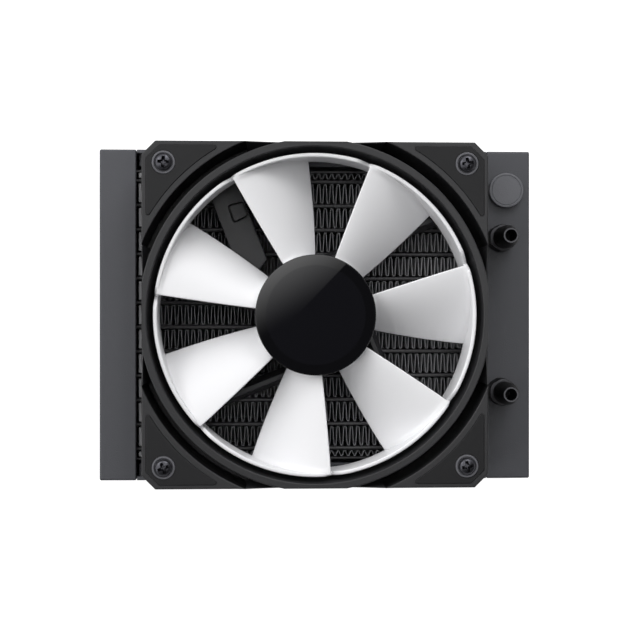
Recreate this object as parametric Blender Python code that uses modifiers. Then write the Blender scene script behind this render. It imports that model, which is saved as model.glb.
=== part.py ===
"""All-in-one liquid cooler: a 120 mm radiator with its fan, lying on its back with the fan upwards.

X runs along the radiator from the plain tank to the tank with the hose fittings, Y runs across it,
and Z points from the radiator's back to the fan's face. The origin is under the middle of the back.
"""

import itertools
import math

import bmesh
import bpy
from mathutils import Matrix

MM = 0.001
COLLECTION = "liquid_cooler_radiator_with_fan"

# Clearances and cutter margin
GAP = 0.3 * MM
CUT = 1.0 * MM
WELD = 0.00001

# The fan's size, which the frame, the radiator's width and the core's length follow
FAN_SIZE = 120.0 * MM
FAN_DEPTH = 25.0 * MM
FAN_HALF = FAN_SIZE / 2

# Radiator envelope
RADIATOR_THICKNESS = 27.0 * MM
CORE_OVERHANG = 4.0 * MM
LEFT_TANK_LENGTH = 13.2 * MM
RIGHT_TANK_LENGTH = 15.8 * MM
TANK_WALL = 1.5 * MM
TANK_EDGE = 0.6 * MM
DIVIDER_THICKNESS = 1.2 * MM
HEADER_THICKNESS = 1.2 * MM
HEADER_RECESS = 0.8 * MM
RADIATOR_WIDTH = FAN_SIZE
CORE_LENGTH = FAN_SIZE + 2 * CORE_OVERHANG
RADIATOR_LENGTH = LEFT_TANK_LENGTH + CORE_LENGTH + RIGHT_TANK_LENGTH
LEFT_END = -RADIATOR_LENGTH / 2
RIGHT_END = RADIATOR_LENGTH / 2
LEFT_MOUTH = LEFT_END + LEFT_TANK_LENGTH
RIGHT_MOUTH = RIGHT_END - RIGHT_TANK_LENGTH
FAN_X = (LEFT_MOUTH + RIGHT_MOUTH) / 2

# Core: flat tubes with folded fins between them
CORE_INSET = 3.5 * MM
CORE_SIDE_MARGIN = 7.8 * MM
TUBE_COUNT = 12
TUBE_THICKNESS = 1.3 * MM
TUBE_WALL = 0.25 * MM
TUBE_END = 1.0 * MM
FIN_LEGS = 34
FIN_SHEET = 0.2 * MM
FIN_MARGIN = 0.45 * MM
EDGE_FIN_HEIGHT = 2.0 * MM
SIDE_PLATE_THICKNESS = 0.6 * MM
CORE_DEPTH = RADIATOR_THICKNESS - 2 * CORE_INSET
CORE_BOTTOM = CORE_INSET
SIDE_PLATE_Y = RADIATOR_WIDTH / 2 - CORE_SIDE_MARGIN
TUBE_EDGE = SIDE_PLATE_Y - 2 * GAP - EDGE_FIN_HEIGHT
TUBE_START = TUBE_THICKNESS / 2 - TUBE_EDGE
TUBE_PITCH = -2 * TUBE_START / (TUBE_COUNT - 1)

# Side channels that carry the fan's screws
SCREW_INSET = 7.5 * MM
CHANNEL_WALL = 1.4 * MM
CHANNEL_SHEET = 1.0 * MM
CHANNEL_FLANGE = 6.0 * MM
CHANNEL_TAB = 5.7 * MM
TAB_MARGIN = 0.85 * MM
TAB_SINK = 0.3 * MM
EAR_WIDTH = 15.0 * MM
EAR_REACH = 12.0 * MM
SCREW_OFFSET = FAN_HALF - SCREW_INSET

# Filler cap and hose fittings on the right tank
FITTING_FROM_END = 10.9 * MM
FITTING_FROM_SIDE = 32.0 * MM
FITTING_SIDES = 12
COLLAR_RADIUS = 5.15 * MM
COLLAR_HEIGHT = 3.7 * MM
BARB_RADIUS = 4.0 * MM
BARB_VALLEY = 3.3 * MM
BARB_COUNT = 3
BARB_PITCH = 3.5 * MM
BARB_LIP = 0.4 * MM
NECK_HEIGHT = 1.5 * MM
TIP_RADIUS = 2.75 * MM
TIP_HEIGHT = 4.8 * MM
FITTING_BORE = 2.2 * MM
SPIGOT_RADIUS = 3.4 * MM
CAP_FROM_END = 9.05 * MM
CAP_FROM_SIDE = 14.5 * MM
CAP_RADIUS = 6.3 * MM
CAP_FACE_RADIUS = 5.2 * MM
CAP_HEIGHT = 2.5 * MM
CAP_STEP = 0.25 * MM
CAP_SIDES = 24

# Fan frame
FRAME_CHAMFER = 4.7 * MM
DUCT_SIDE_WALL = 3.0 * MM
DUCT_CORNER_WALL = 4.0 * MM
DUCT_SIDES = 64
MOUTH_FLARE = 1.4 * MM
MOUTH_DEPTH = 4.0 * MM
GROOVE_WIDTH = 3.7 * MM
REAR_FLANGE = 3.5 * MM
WEB_DROP = 3.0 * MM
WEB_SLOPE = 2.0
SCREW_HOLE_RADIUS = 2.2 * MM
GROOVE_STEP = math.radians(0.05)
SMALL_SIDES = 12
FAN_REAR = RADIATOR_THICKNESS + GAP
FAN_FRONT = FAN_REAR + FAN_DEPTH
BORE_RADIUS = FAN_HALF - DUCT_SIDE_WALL
MOUTH_RADIUS = BORE_RADIUS + MOUTH_FLARE
DUCT_RADIUS = BORE_RADIUS + DUCT_CORNER_WALL
GROOVE_RADIUS = DUCT_RADIUS + GROOVE_WIDTH
GROOVE_FLOOR = FAN_REAR + REAR_FLANGE

# Corner pads, washers and screws
PAD_INSET = 1.45 * MM
PAD_CHAMFER = 4.6 * MM
PAD_LAND = 1.6 * MM
PAD_TIP_RADIUS = 1.5 * MM
PAD_TIP_STEPS = 5
PAD_ARC_STEPS = 3
PAD_THICKNESS = 1.2 * MM
PAD_SEAT_DEPTH = 1.2 * MM
WASHER_RADIUS = 4.05 * MM
WASHER_FLOOR = 0.6 * MM
WASHER_RIM_HEIGHT = 1.2 * MM
WASHER_RIM_WIDTH = 0.7 * MM
SCREW_RADIUS = 1.5 * MM
SCREW_HEAD_RADIUS = 2.85 * MM
SCREW_HEAD_HEIGHT = 2.0 * MM
SCREW_HEAD_SIDE = 0.9 * MM
SCREW_CROWN_RADIUS = 1.77 * MM
SCREW_CROWN = 0.2 * MM
SCREW_REACH = 1.4 * MM
CROSS_WIDTH = 0.8 * MM
CROSS_LENGTH = 3.6 * MM
CROSS_DEPTH = 0.9 * MM
SCREW_TURN = math.radians(8.0)
PAD_INNER_RADIUS = GROOVE_RADIUS + PAD_LAND
PAD_BOTTOM = FAN_FRONT - PAD_SEAT_DEPTH + GAP
WASHER_TOP = PAD_BOTTOM + WASHER_FLOOR

# Hub, and the glossy cap on it
HUB_RADIUS = 20.5 * MM
HUB_WALL = 1.5 * MM
HUB_BOSS_WALL = 1.7 * MM
HUB_CAP_OVERHANG = 0.5 * MM
HUB_CAP_BEVEL = 3.7 * MM
HUB_CAP_HEIGHT = 2.6 * MM
HUB_CAP_WALL = 1.2 * MM
HUB_CAP_SLOPE = 0.7 * MM
HUB_CAP_EDGE = 0.9 * MM
HUB_CAP_DROP = 1.3 * MM
HUB_CAP_SIDES = 32
HUB_DEPTH = 0.5 * FAN_DEPTH
HUB_BOSS_DEPTH = 0.22 * FAN_DEPTH
HUB_CAP_RADIUS = HUB_RADIUS + HUB_CAP_OVERHANG
HUB_CAP_FACE_RADIUS = HUB_CAP_RADIUS - HUB_CAP_BEVEL
CAP_TOP = FAN_FRONT - HUB_CAP_DROP
HUB_TOP = CAP_TOP - HUB_CAP_HEIGHT - GAP
HUB_BOTTOM = HUB_TOP - HUB_DEPTH
HUB_BOSS_BOTTOM = HUB_TOP - HUB_BOSS_DEPTH

# Impeller
BLADE_COUNT = 7
BLADE_LEAD_ANGLE = math.radians(121.2)
BLADE_LEAD_TURN = math.radians(1.1)
BLADE_TIP_SWEEP = math.radians(29.0)
BLADE_ROOT_SWEEP = math.radians(33.5)
BLADE_CAMBER = 0.28
BLADE_THICKNESS = 1.3 * MM
BLADE_EDGE_SHARE = 0.45
BLADE_BULGE_SHARE = 0.55
BLADE_STATIONS = 6
BLADE_SECTIONS = 5
BLADE_LEAD_DROP = 0.4 * MM
BLADE_ROOT_DROP = 0.9 * MM
BLADE_TIP_RISE = 1.1 * MM
BLADE_ROOT_RISE = 1.9 * MM
RING_CLEARANCE = 0.75 * MM
RING_WALL = 1.4 * MM
RING_DROP = 4.0 * MM
RING_STATIONS = 7
RING_STEP = math.radians(1.2)
RING_FRONT_DROP = 1.8 * MM
RING_REAR_RISE = 7.5 * MM
RING_RADIUS = BORE_RADIUS - RING_CLEARANCE
RING_FRONT = FAN_FRONT - RING_FRONT_DROP
RING_REAR = FAN_REAR + RING_REAR_RISE
BLADE_TIP_DEPTH = RING_FRONT - RING_REAR - BLADE_TIP_RISE
BLADE_ROOT_DEPTH = HUB_DEPTH - BLADE_ROOT_RISE

# Motor base and struts behind the impeller
BASE_OVERHANG = 1.5 * MM
BASE_FLOOR = 2.0 * MM
BASE_RIM_WALL = 1.5 * MM
BASE_RIM_CLEARANCE = 1.6 * MM
BASE_SIDES = 28
STRUT_COUNT = 4
STRUT_INSET = 5.64 * MM
STRUT_ANGLE = math.radians(-68.6)
STRUT_HEIGHT = 6.0 * MM
STRUT_CREST = 1.9 * MM
STRUT_FOOT = 5.4 * MM
STRUT_SINK = 1.5 * MM
CABLE_STRUT_INDEX = 1
CABLE_STRUT_WIDTH = 11.0 * MM
CABLE_STRUT_LAP = 2.74 * MM
CABLE_STRUT_START = 4.0 * MM
CABLE_STRUT_HEIGHT = 6.2 * MM
CABLE_STRUT_WALL = 1.2 * MM
BASE_RADIUS = HUB_RADIUS + BASE_OVERHANG
BASE_INNER = BASE_RADIUS - BASE_RIM_WALL
BASE_TOP = FAN_REAR + BASE_FLOOR
BASE_RIM_TOP = HUB_BOTTOM - BASE_RIM_CLEARANCE
STRUT_OFFSET = BASE_RADIUS - STRUT_INSET
CABLE_STRUT_OUTER = STRUT_OFFSET + CABLE_STRUT_LAP
CABLE_STRUT_INNER = CABLE_STRUT_OUTER - CABLE_STRUT_WIDTH
CABLE_STRUT_END = BASE_RADIUS + CABLE_STRUT_START

# Shaft, its clip and bearing
BEARING_TUBE_WALL = 1.2 * MM
BEARING_CLEARANCE = 0.6 * MM
SHAFT_RADIUS = 1.5 * MM
CLIP_GROOVE_DEPTH = 0.4 * MM
CLIP_GROOVE_HEIGHT = 1.1 * MM
CLIP_THICKNESS = 0.5 * MM
CLIP_RADIUS = 3.0 * MM
CLIP_OPENING = 1.6 * MM
CLIP_STEPS = 10
SLEEVE_WALL = 1.5 * MM
SLEEVE_CLEARANCE = 1.2 * MM
SHAFT_TOP = HUB_TOP - HUB_WALL
SHAFT_BOTTOM = BASE_TOP + GAP
SHAFT_BORE = SHAFT_RADIUS + GAP
CLIP_GROOVE_BOTTOM = SHAFT_BOTTOM + CLIP_GROOVE_HEIGHT
CLIP_GROOVE_TOP = CLIP_GROOVE_BOTTOM + CLIP_GROOVE_HEIGHT
HUB_BOSS_RADIUS = SHAFT_BORE + HUB_BOSS_WALL
SLEEVE_RADIUS = SHAFT_BORE + SLEEVE_WALL
SLEEVE_BOTTOM = CLIP_GROOVE_TOP + SLEEVE_CLEARANCE
BEARING_TUBE_BORE = SLEEVE_RADIUS + GAP
BEARING_TUBE_RADIUS = BEARING_TUBE_BORE + BEARING_TUBE_WALL
BEARING_TUBE_TOP = HUB_BOSS_BOTTOM - BEARING_CLEARANCE

# Motor
MOTOR_SIDES = 20
YOKE_WALL = 1.0 * MM
YOKE_LIP = 0.7 * MM
MAGNET_THICKNESS = 1.3 * MM
MAGNET_LIP = 0.7 * MM
AIR_GAP = 0.6 * MM
STATOR_TEETH = 4
TOOTH_WIDTH = 4.0 * MM
TOOTH_HEAD_SHARE = 0.23
STATOR_YOKE_SHARE = 0.29
TOOTH_HEAD_HALF_ANGLE = math.radians(37.0)
TOOTH_HEAD_STEPS = 4
STATOR_BORE_SIDES = 16
COIL_BUILD = 1.6 * MM
BOBBIN_SHEET = 0.7 * MM
BOARD_MARGIN = 1.0 * MM
BOARD_THICKNESS = 1.0 * MM
BOARD_SIDES = 24
STATOR_HEIGHT = 0.28 * FAN_DEPTH
YOKE_RADIUS = HUB_RADIUS - HUB_WALL - GAP
YOKE_TOP = HUB_TOP - HUB_WALL - GAP
YOKE_BOTTOM = HUB_BOTTOM + YOKE_LIP
MAGNET_RADIUS = YOKE_RADIUS - YOKE_WALL - GAP
MAGNET_TOP = YOKE_TOP - YOKE_WALL - GAP
MAGNET_BOTTOM = YOKE_BOTTOM + MAGNET_LIP
STATOR_RADIUS = MAGNET_RADIUS - MAGNET_THICKNESS - AIR_GAP
STATOR_BORE = BEARING_TUBE_RADIUS + GAP
STATOR_YOKE_WALL = STATOR_YOKE_SHARE * (STATOR_RADIUS - STATOR_BORE)
TOOTH_HEAD_DEPTH = TOOTH_HEAD_SHARE * (STATOR_RADIUS - STATOR_BORE)
COIL_TOP = YOKE_TOP - YOKE_WALL - AIR_GAP
STATOR_TOP = COIL_TOP - COIL_BUILD - GAP
STATOR_BOTTOM = STATOR_TOP - STATOR_HEIGHT
BOBBIN_TOP = STATOR_BOTTOM - GAP
COIL_BOTTOM = BOBBIN_TOP - COIL_BUILD
BOARD_RADIUS = BASE_INNER - BOARD_MARGIN
BOARD_TOP = COIL_BOTTOM - GAP

# Finish of each kind of piece: colour, metallic and roughness
FINISHES = {
    "painted_aluminium": ((0.075, 0.076, 0.083), 0.0, 0.45),
    "core_aluminium": ((0.055, 0.055, 0.058), 0.4, 0.5),
    "black_plastic": ((0.045, 0.045, 0.047), 0.0, 0.5),
    "white_plastic": ((0.82, 0.82, 0.83), 0.0, 0.35),
    "gloss_black_plastic": ((0.015, 0.015, 0.017), 0.0, 0.15),
    "black_rubber": ((0.03, 0.03, 0.031), 0.0, 0.75),
    "dark_steel": ((0.16, 0.16, 0.17), 1.0, 0.35),
    "bright_steel": ((0.55, 0.55, 0.56), 1.0, 0.3),
    "magnet": ((0.05, 0.05, 0.055), 0.3, 0.7),
    "bronze": ((0.45, 0.28, 0.12), 1.0, 0.45),
    "winding_copper": ((0.6, 0.25, 0.09), 1.0, 0.35),
    "circuit_board_green": ((0.02, 0.12, 0.05), 0.0, 0.5),
}


def clear_scene():
    for found in list(bpy.data.objects):
        bpy.data.objects.remove(found, do_unlink=True)


def make_collection(name, hidden=False):
    made = bpy.data.collections.new(name)
    made.hide_render = hidden
    bpy.context.scene.collection.children.link(made)
    return made


def make_material(name):
    """A Principled material with the named finish, made once."""
    if name in bpy.data.materials:
        return bpy.data.materials[name]
    colour, metallic, roughness = FINISHES[name]
    made = bpy.data.materials.new(name)
    made.use_nodes = True
    shader = made.node_tree.nodes["Principled BSDF"]
    shader.inputs["Base Color"].default_value = (*colour, 1.0)
    shader.inputs["Metallic"].default_value = metallic
    shader.inputs["Roughness"].default_value = roughness
    return made


def add_object(name, mesh, finish=None):
    """Links an object to the part's collection, or to the cutters' collection when it has no finish."""
    made = bpy.data.objects.new(name, mesh)
    if finish is None:
        bpy.data.collections["cutters"].objects.link(made)
        made.hide_render = True
        made.display_type = "WIRE"
        return made
    bpy.data.collections[COLLECTION].objects.link(made)
    if not mesh.materials:
        mesh.materials.append(make_material(finish))
    return made


def mesh_from(name, bm):
    bmesh.ops.recalc_face_normals(bm, faces=bm.faces)
    mesh = bpy.data.meshes.new(name)
    bm.to_mesh(mesh)
    bm.free()
    return mesh


def box_between(name, low, high, finish=None, edge=0.0, upright_only=False):
    """A box from its low corner to its high one, with its edges chamfered by the given amount."""
    bm = bmesh.new()
    size = [b - a for a, b in zip(low, high)]
    middle = [(a + b) / 2 for a, b in zip(low, high)]
    place = Matrix.Translation(middle) @ Matrix.Diagonal((*size, 1.0))
    bmesh.ops.create_cube(bm, size=1.0, matrix=place)
    if edge:
        edges = bm.edges[:]
        if upright_only:
            edges = [e for e in edges if abs((e.verts[0].co - e.verts[1].co).z) > size[2] / 2]
        bmesh.ops.bevel(bm, geom=edges, offset=edge, segments=1, affect="EDGES")
    return add_object(name, mesh_from(name, bm), finish)


def rod_cutter(name, radius, low, high, x, y):
    """An upright cylinder that cuts a round hole."""
    bm = bmesh.new()
    bmesh.ops.create_cone(
        bm,
        cap_ends=True,
        segments=SMALL_SIDES,
        radius1=radius,
        radius2=radius,
        depth=high - low,
        matrix=Matrix.Translation((x, y, (low + high) / 2)),
    )
    return add_object(name, mesh_from(name, bm))


def turned(name, profile, sides, x, y, finish=None, ring=False):
    """Turns a (radius, height) profile about an upright axis; a ring's profile closes on itself."""
    mesh = bpy.data.meshes.new(name)
    edges = [(i, i + 1) for i in range(len(profile) - 1)]
    if ring:
        edges.append((len(profile) - 1, 0))
    mesh.from_pydata([(radius, 0.0, height) for radius, height in profile], edges, [])
    made = add_object(name, mesh, finish)
    made.location = (x, y, 0.0)
    screw = made.modifiers.new("turn", "SCREW")
    screw.steps = sides
    screw.render_steps = sides
    screw.use_merge_vertices = True
    screw.merge_threshold = WELD
    screw.use_smooth_shade = True
    return made


def extruded(name, outline, low, high, finish=None, holes=()):
    """A flat outline, with any holes, given its thickness along Z."""
    curve = bpy.data.curves.new(name, "CURVE")
    curve.dimensions = "2D"
    curve.fill_mode = "BOTH"
    curve.extrude = (high - low) / 2
    for points in (outline, *holes):
        spline = curve.splines.new("POLY")
        spline.points.add(len(points) - 1)
        for point, (x, y) in zip(spline.points, points):
            point.co = (x, y, 0.0, 1.0)
        spline.use_cyclic_u = True
    made = bpy.data.objects.new(name + "_outline", curve)
    bpy.context.scene.collection.objects.link(made)
    graph = bpy.context.evaluated_depsgraph_get()
    mesh = bpy.data.meshes.new_from_object(made.evaluated_get(graph))
    bpy.data.objects.remove(made, do_unlink=True)
    bpy.data.curves.remove(curve)
    mesh.name = name
    bm = bmesh.new()
    bm.from_mesh(mesh)
    bmesh.ops.remove_doubles(bm, verts=bm.verts, dist=WELD)
    bmesh.ops.recalc_face_normals(bm, faces=bm.faces)
    bmesh.ops.translate(bm, verts=bm.verts, vec=(0.0, 0.0, (low + high) / 2))
    bm.to_mesh(mesh)
    bm.free()
    mesh.materials.clear()
    return add_object(name, mesh, finish)


def skin(name, rings, finish=None, closed=False):
    """Skins equal rings of points, given in order; a row of rings that isn't closed gets flat ends."""
    bm = bmesh.new()
    rows = [[bm.verts.new(point) for point in ring] for ring in rings]
    sides = len(rings[0])
    pairs = list(zip(rows, rows[1:]))
    if closed:
        pairs.append((rows[-1], rows[0]))
    for near, far in pairs:
        for i in range(sides):
            j = (i + 1) % sides
            bm.faces.new((near[i], near[j], far[j], far[i]))
    if not closed:
        for row in (rows[0], rows[-1]):
            for i in range(sides // 2 - 1):
                bm.faces.new((row[i], row[i + 1], row[sides - 2 - i], row[sides - 1 - i]))
    return add_object(name, mesh_from(name, bm), finish)


def combine(target, other, operation):
    modifier = target.modifiers.new(f"{operation.lower()}_{other.name}", "BOOLEAN")
    modifier.operation = operation
    modifier.object = other
    return target


def cut(target, cutter):
    return combine(target, cutter, "DIFFERENCE")


def add_to(target, other):
    return combine(target, other, "UNION")


def circle_points(radius, sides, x=0.0, y=0.0):
    turns = [2 * math.pi * i / sides for i in range(sides)]
    return [(x + radius * math.cos(a), y + radius * math.sin(a)) for a in turns]


def around(angle, radius, height):
    """A point at a polar place about the fan's axis, in the impeller's own frame."""
    return (radius * math.cos(angle), radius * math.sin(angle), height)


def corner_signs():
    return [(1, 1), (-1, 1), (-1, -1), (1, -1)]


def make_tanks():
    """Two box-shaped end tanks, each open towards the core."""
    half = RADIATOR_WIDTH / 2
    for side, end, mouth in (("left", LEFT_END, LEFT_MOUTH), ("right", RIGHT_END, RIGHT_MOUTH)):
        outward = 1 if end > mouth else -1
        low_x, high_x = sorted((end, mouth))
        tank = box_between(
            f"{side}_tank",
            (low_x, -half, 0.0),
            (high_x, half, RADIATOR_THICKNESS),
            "painted_aluminium",
            edge=TANK_EDGE,
        )
        hollow_x = sorted((mouth - outward * CUT, end - outward * TANK_WALL))
        hollow = box_between(
            f"{side}_tank_hollow",
            (hollow_x[0], -half + TANK_WALL, TANK_WALL),
            (hollow_x[1], half - TANK_WALL, RADIATOR_THICKNESS - TANK_WALL),
        )
        cut(tank, hollow)
        if side == "right":
            for name, x, y, radius in port_places():
                low = RADIATOR_THICKNESS - TANK_WALL - CUT
                high = RADIATOR_THICKNESS + CUT
                cut(tank, rod_cutter(f"{name}_hole", radius + GAP, low, high, x, y))


def port_places():
    """Name, place and spigot radius of what sits in the right tank's face."""
    fitting_x = RIGHT_END - FITTING_FROM_END
    fitting_y = RADIATOR_WIDTH / 2 - FITTING_FROM_SIDE
    cap_y = RADIATOR_WIDTH / 2 - CAP_FROM_SIDE
    return [
        ("inlet_fitting", fitting_x, fitting_y, SPIGOT_RADIUS),
        ("outlet_fitting", fitting_x, -fitting_y, SPIGOT_RADIUS),
        ("fill_cap", RIGHT_END - CAP_FROM_END, cap_y, SPIGOT_RADIUS),
    ]


def make_tank_divider():
    """The wall in the right tank that sends coolant out along half the tubes and back along the rest."""
    inner_y = DIVIDER_THICKNESS / 2
    header_back = RIGHT_MOUTH + HEADER_RECESS + HEADER_THICKNESS
    box_between(
        "tank_divider",
        (header_back + GAP, -inner_y, TANK_WALL + GAP),
        (RIGHT_END - TANK_WALL - GAP, inner_y, RADIATOR_THICKNESS - TANK_WALL - GAP),
        "core_aluminium",
    )


def tube_section(grow):
    """Outline of a flat tube across its run, as (y, z) points about its middle, with six corners."""
    half_depth = CORE_DEPTH / 2 + grow
    half_width = TUBE_THICKNESS / 2 + grow
    shoulder = half_depth - half_width
    return [
        (half_width, -shoulder),
        (half_width, shoulder),
        (0.0, half_depth),
        (-half_width, shoulder),
        (-half_width, -shoulder),
        (0.0, -half_depth),
    ]


def tube_run(name, y, start, end, grow, finish=None):
    z = RADIATOR_THICKNESS / 2
    rings = [[(x, y + a, z + b) for a, b in tube_section(grow)] for x in (start, end)]
    return skin(name, rings, finish)


def tube_places():
    return [TUBE_START + TUBE_PITCH * i for i in range(TUBE_COUNT)]


def make_tubes():
    """Flat coolant tubes, open at both ends, that pass through the two header plates."""
    start = LEFT_MOUTH - HEADER_RECESS - HEADER_THICKNESS - TUBE_END
    end = RIGHT_MOUTH + HEADER_RECESS + HEADER_THICKNESS + TUBE_END
    for number, y in enumerate(tube_places(), 1):
        tube = tube_run(f"flat_tube_{number:02d}", y, start, end, 0.0, "core_aluminium")
        bore = tube_run(f"flat_tube_{number:02d}_bore", y, start - CUT, end + CUT, -TUBE_WALL)
        cut(tube, bore)


def make_header_plates():
    """Slotted plates that close the tanks' mouths round the tubes."""
    half_y = RADIATOR_WIDTH / 2 - TANK_WALL - GAP
    low_z = TANK_WALL + GAP
    high_z = RADIATOR_THICKNESS - TANK_WALL - GAP
    for side, mouth, outward in (("left", LEFT_MOUTH, -1), ("right", RIGHT_MOUTH, 1)):
        near = mouth + outward * HEADER_RECESS
        far = near + outward * HEADER_THICKNESS
        low_x, high_x = sorted((near, far))
        plate = box_between(
            f"{side}_header_plate", (low_x, -half_y, low_z), (high_x, half_y, high_z), "core_aluminium"
        )
        for number, y in enumerate(tube_places(), 1):
            slot = tube_run(f"{side}_header_slot_{number:02d}", y, low_x - CUT, high_x + CUT, GAP)
            cut(plate, slot)


def core_span():
    """Where the side plates start and end along X, just clear of the header plates."""
    start = LEFT_MOUTH - HEADER_RECESS + GAP
    end = RIGHT_MOUTH + HEADER_RECESS - GAP
    return start, end


def fin_strip(name, low_y, high_y):
    """One sheet folded to and fro between two tubes, with a bend at every leg."""
    start, end = LEFT_MOUTH + FIN_MARGIN, RIGHT_MOUTH - FIN_MARGIN
    step = (end - start - FIN_SHEET) / FIN_LEGS
    lean = math.atan2(step, high_y - low_y)
    crest = FIN_SHEET / 2 / math.sin(lean)
    low, high = low_y + GAP + crest, high_y - GAP - crest
    bm = bmesh.new()
    bottom = []
    for i in range(FIN_LEGS + 1):
        x = start + FIN_SHEET / 2 + step * i
        bottom.append(bm.verts.new((x, high if i % 2 else low, CORE_BOTTOM)))
    folds = [bm.edges.new(pair) for pair in zip(bottom, bottom[1:])]
    grown = bmesh.ops.extrude_edge_only(bm, edges=folds)["geom"]
    top = [item for item in grown if isinstance(item, bmesh.types.BMVert)]
    bmesh.ops.translate(bm, verts=top, vec=(0.0, 0.0, CORE_DEPTH))
    strip = add_object(name, mesh_from(name, bm), "core_aluminium")
    sheet = strip.modifiers.new("sheet", "SOLIDIFY")
    sheet.thickness = FIN_SHEET
    sheet.offset = 0.0
    sheet.use_even_offset = True
    return strip


def make_fins():
    """Fin strips between the tubes, and a short one outside each end tube."""
    edges = [-SIDE_PLATE_Y]
    for y in tube_places():
        edges += [y - TUBE_THICKNESS / 2, y + TUBE_THICKNESS / 2]
    edges.append(SIDE_PLATE_Y)
    for number in range(TUBE_COUNT + 1):
        fin_strip(f"fin_strip_{number + 1:02d}", edges[2 * number], edges[2 * number + 1])


def make_core_side_plates():
    start, end = core_span()
    for side, sign in (("top", 1), ("bottom", -1)):
        low, high = sorted((sign * SIDE_PLATE_Y, sign * (SIDE_PLATE_Y + SIDE_PLATE_THICKNESS)))
        box_between(
            f"core_side_plate_{side}",
            (start, low, CORE_BOTTOM),
            (end, high, CORE_BOTTOM + CORE_DEPTH),
            "core_aluminium",
        )


def make_side_channels():
    """Folded channels along the core, with ears on both flanges where the fan's screws go in. Where a flange
    ends, a lower tab closes the core beside the tank."""
    start, end = LEFT_MOUTH + GAP, RIGHT_MOUTH - GAP
    outer = RADIATOR_WIDTH / 2
    wall_y = outer - CHANNEL_WALL
    flange_y = outer - CHANNEL_FLANGE
    ear_y = outer - EAR_REACH
    ear_x = [FAN_X - SCREW_OFFSET, FAN_X + SCREW_OFFSET]
    flange_start, flange_end = ear_x[0] - EAR_WIDTH / 2, ear_x[1] + EAR_WIDTH / 2
    trims = [
        ((start - CUT, flange_start), wall_y),
        ((ear_x[0] + EAR_WIDTH / 2, ear_x[1] - EAR_WIDTH / 2), flange_y),
        ((flange_end, end + CUT), wall_y),
    ]
    tab_spans = [(LEFT_MOUTH + TAB_MARGIN, flange_start), (flange_end, RIGHT_MOUTH - TAB_MARGIN)]
    core_top = CORE_BOTTOM + CORE_DEPTH
    tab_heights = [(CORE_BOTTOM, CORE_BOTTOM + CHANNEL_SHEET), (core_top - CHANNEL_SHEET, core_top)]

    def slab(name, x_span, y_span, z_span, sign, finish=None):
        low_y, high_y = sorted(sign * y for y in y_span)
        low = (x_span[0], low_y, z_span[0])
        high = (x_span[1], high_y, z_span[1])
        return box_between(name, low, high, finish)

    for side, sign in (("top", 1), ("bottom", -1)):
        name = f"side_channel_{side}"
        height = (0.0, RADIATOR_THICKNESS)
        channel = slab(name, (start, end), (ear_y, outer), height, sign, "painted_aluminium")
        hollow_x = (start - CUT, end + CUT)
        hollow_y = (ear_y - CUT, wall_y)
        hollow_z = (CHANNEL_SHEET, RADIATOR_THICKNESS - CHANNEL_SHEET)
        cut(channel, slab(name + "_hollow", hollow_x, hollow_y, hollow_z, sign))
        through = (-CUT, RADIATOR_THICKNESS + CUT)
        for number, (span, reach) in enumerate(trims):
            cut(channel, slab(f"{name}_trim_{number}", span, (ear_y - CUT, reach), through, sign))
        tab_y = (outer - CHANNEL_TAB, wall_y + TAB_SINK)
        for number, (span, tab_z) in enumerate(itertools.product(tab_spans, tab_heights)):
            add_to(channel, slab(f"{name}_tab_{number}", span, tab_y, tab_z, sign))
        for number, x in enumerate(ear_x):
            hole_name = f"{name}_hole_{number}"
            cut(channel, rod_cutter(hole_name, SHAFT_BORE, *through, x, sign * SCREW_OFFSET))


def fitting_profile():
    """Hose barb from its tip down: tapered tip, three saw-edged barbs, neck, collar, spigot and bore."""
    foot = RADIATOR_THICKNESS + GAP
    collar_top = foot + COLLAR_HEIGHT
    first_barb = collar_top + NECK_HEIGHT
    tip = first_barb + BARB_COUNT * BARB_PITCH + TIP_HEIGHT
    bottom = RADIATOR_THICKNESS - TANK_WALL
    profile = [(FITTING_BORE, tip), (TIP_RADIUS, tip), (BARB_VALLEY, tip - TIP_HEIGHT)]
    for i in range(BARB_COUNT):
        lip = tip - TIP_HEIGHT - BARB_PITCH * (i + 1) + BARB_LIP
        profile += [(BARB_RADIUS, lip), (BARB_VALLEY, lip - BARB_LIP)]
    profile += [
        (BARB_VALLEY, collar_top),
        (COLLAR_RADIUS, collar_top),
        (COLLAR_RADIUS, foot),
        (SPIGOT_RADIUS, foot),
        (SPIGOT_RADIUS, bottom),
        (FITTING_BORE, bottom),
    ]
    return profile


def make_ports():
    """The two hose fittings and the filler cap."""
    for name, x, y, radius in port_places():
        if name == "fill_cap":
            top = RADIATOR_THICKNESS + GAP + CAP_HEIGHT
            foot = RADIATOR_THICKNESS + GAP
            bottom = RADIATOR_THICKNESS - TANK_WALL
            profile = [
                (0.0, top),
                (CAP_FACE_RADIUS, top),
                (CAP_FACE_RADIUS + CAP_STEP, top - CAP_STEP),
                (CAP_RADIUS, top - CAP_STEP),
                (CAP_RADIUS, foot),
                (radius, foot),
                (radius, bottom),
                (0.0, bottom),
            ]
            turned(name, profile, CAP_SIDES, x, y, "painted_aluminium")
        else:
            turned(name, fitting_profile(), FITTING_SIDES, x, y, "black_plastic", ring=True)


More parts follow.
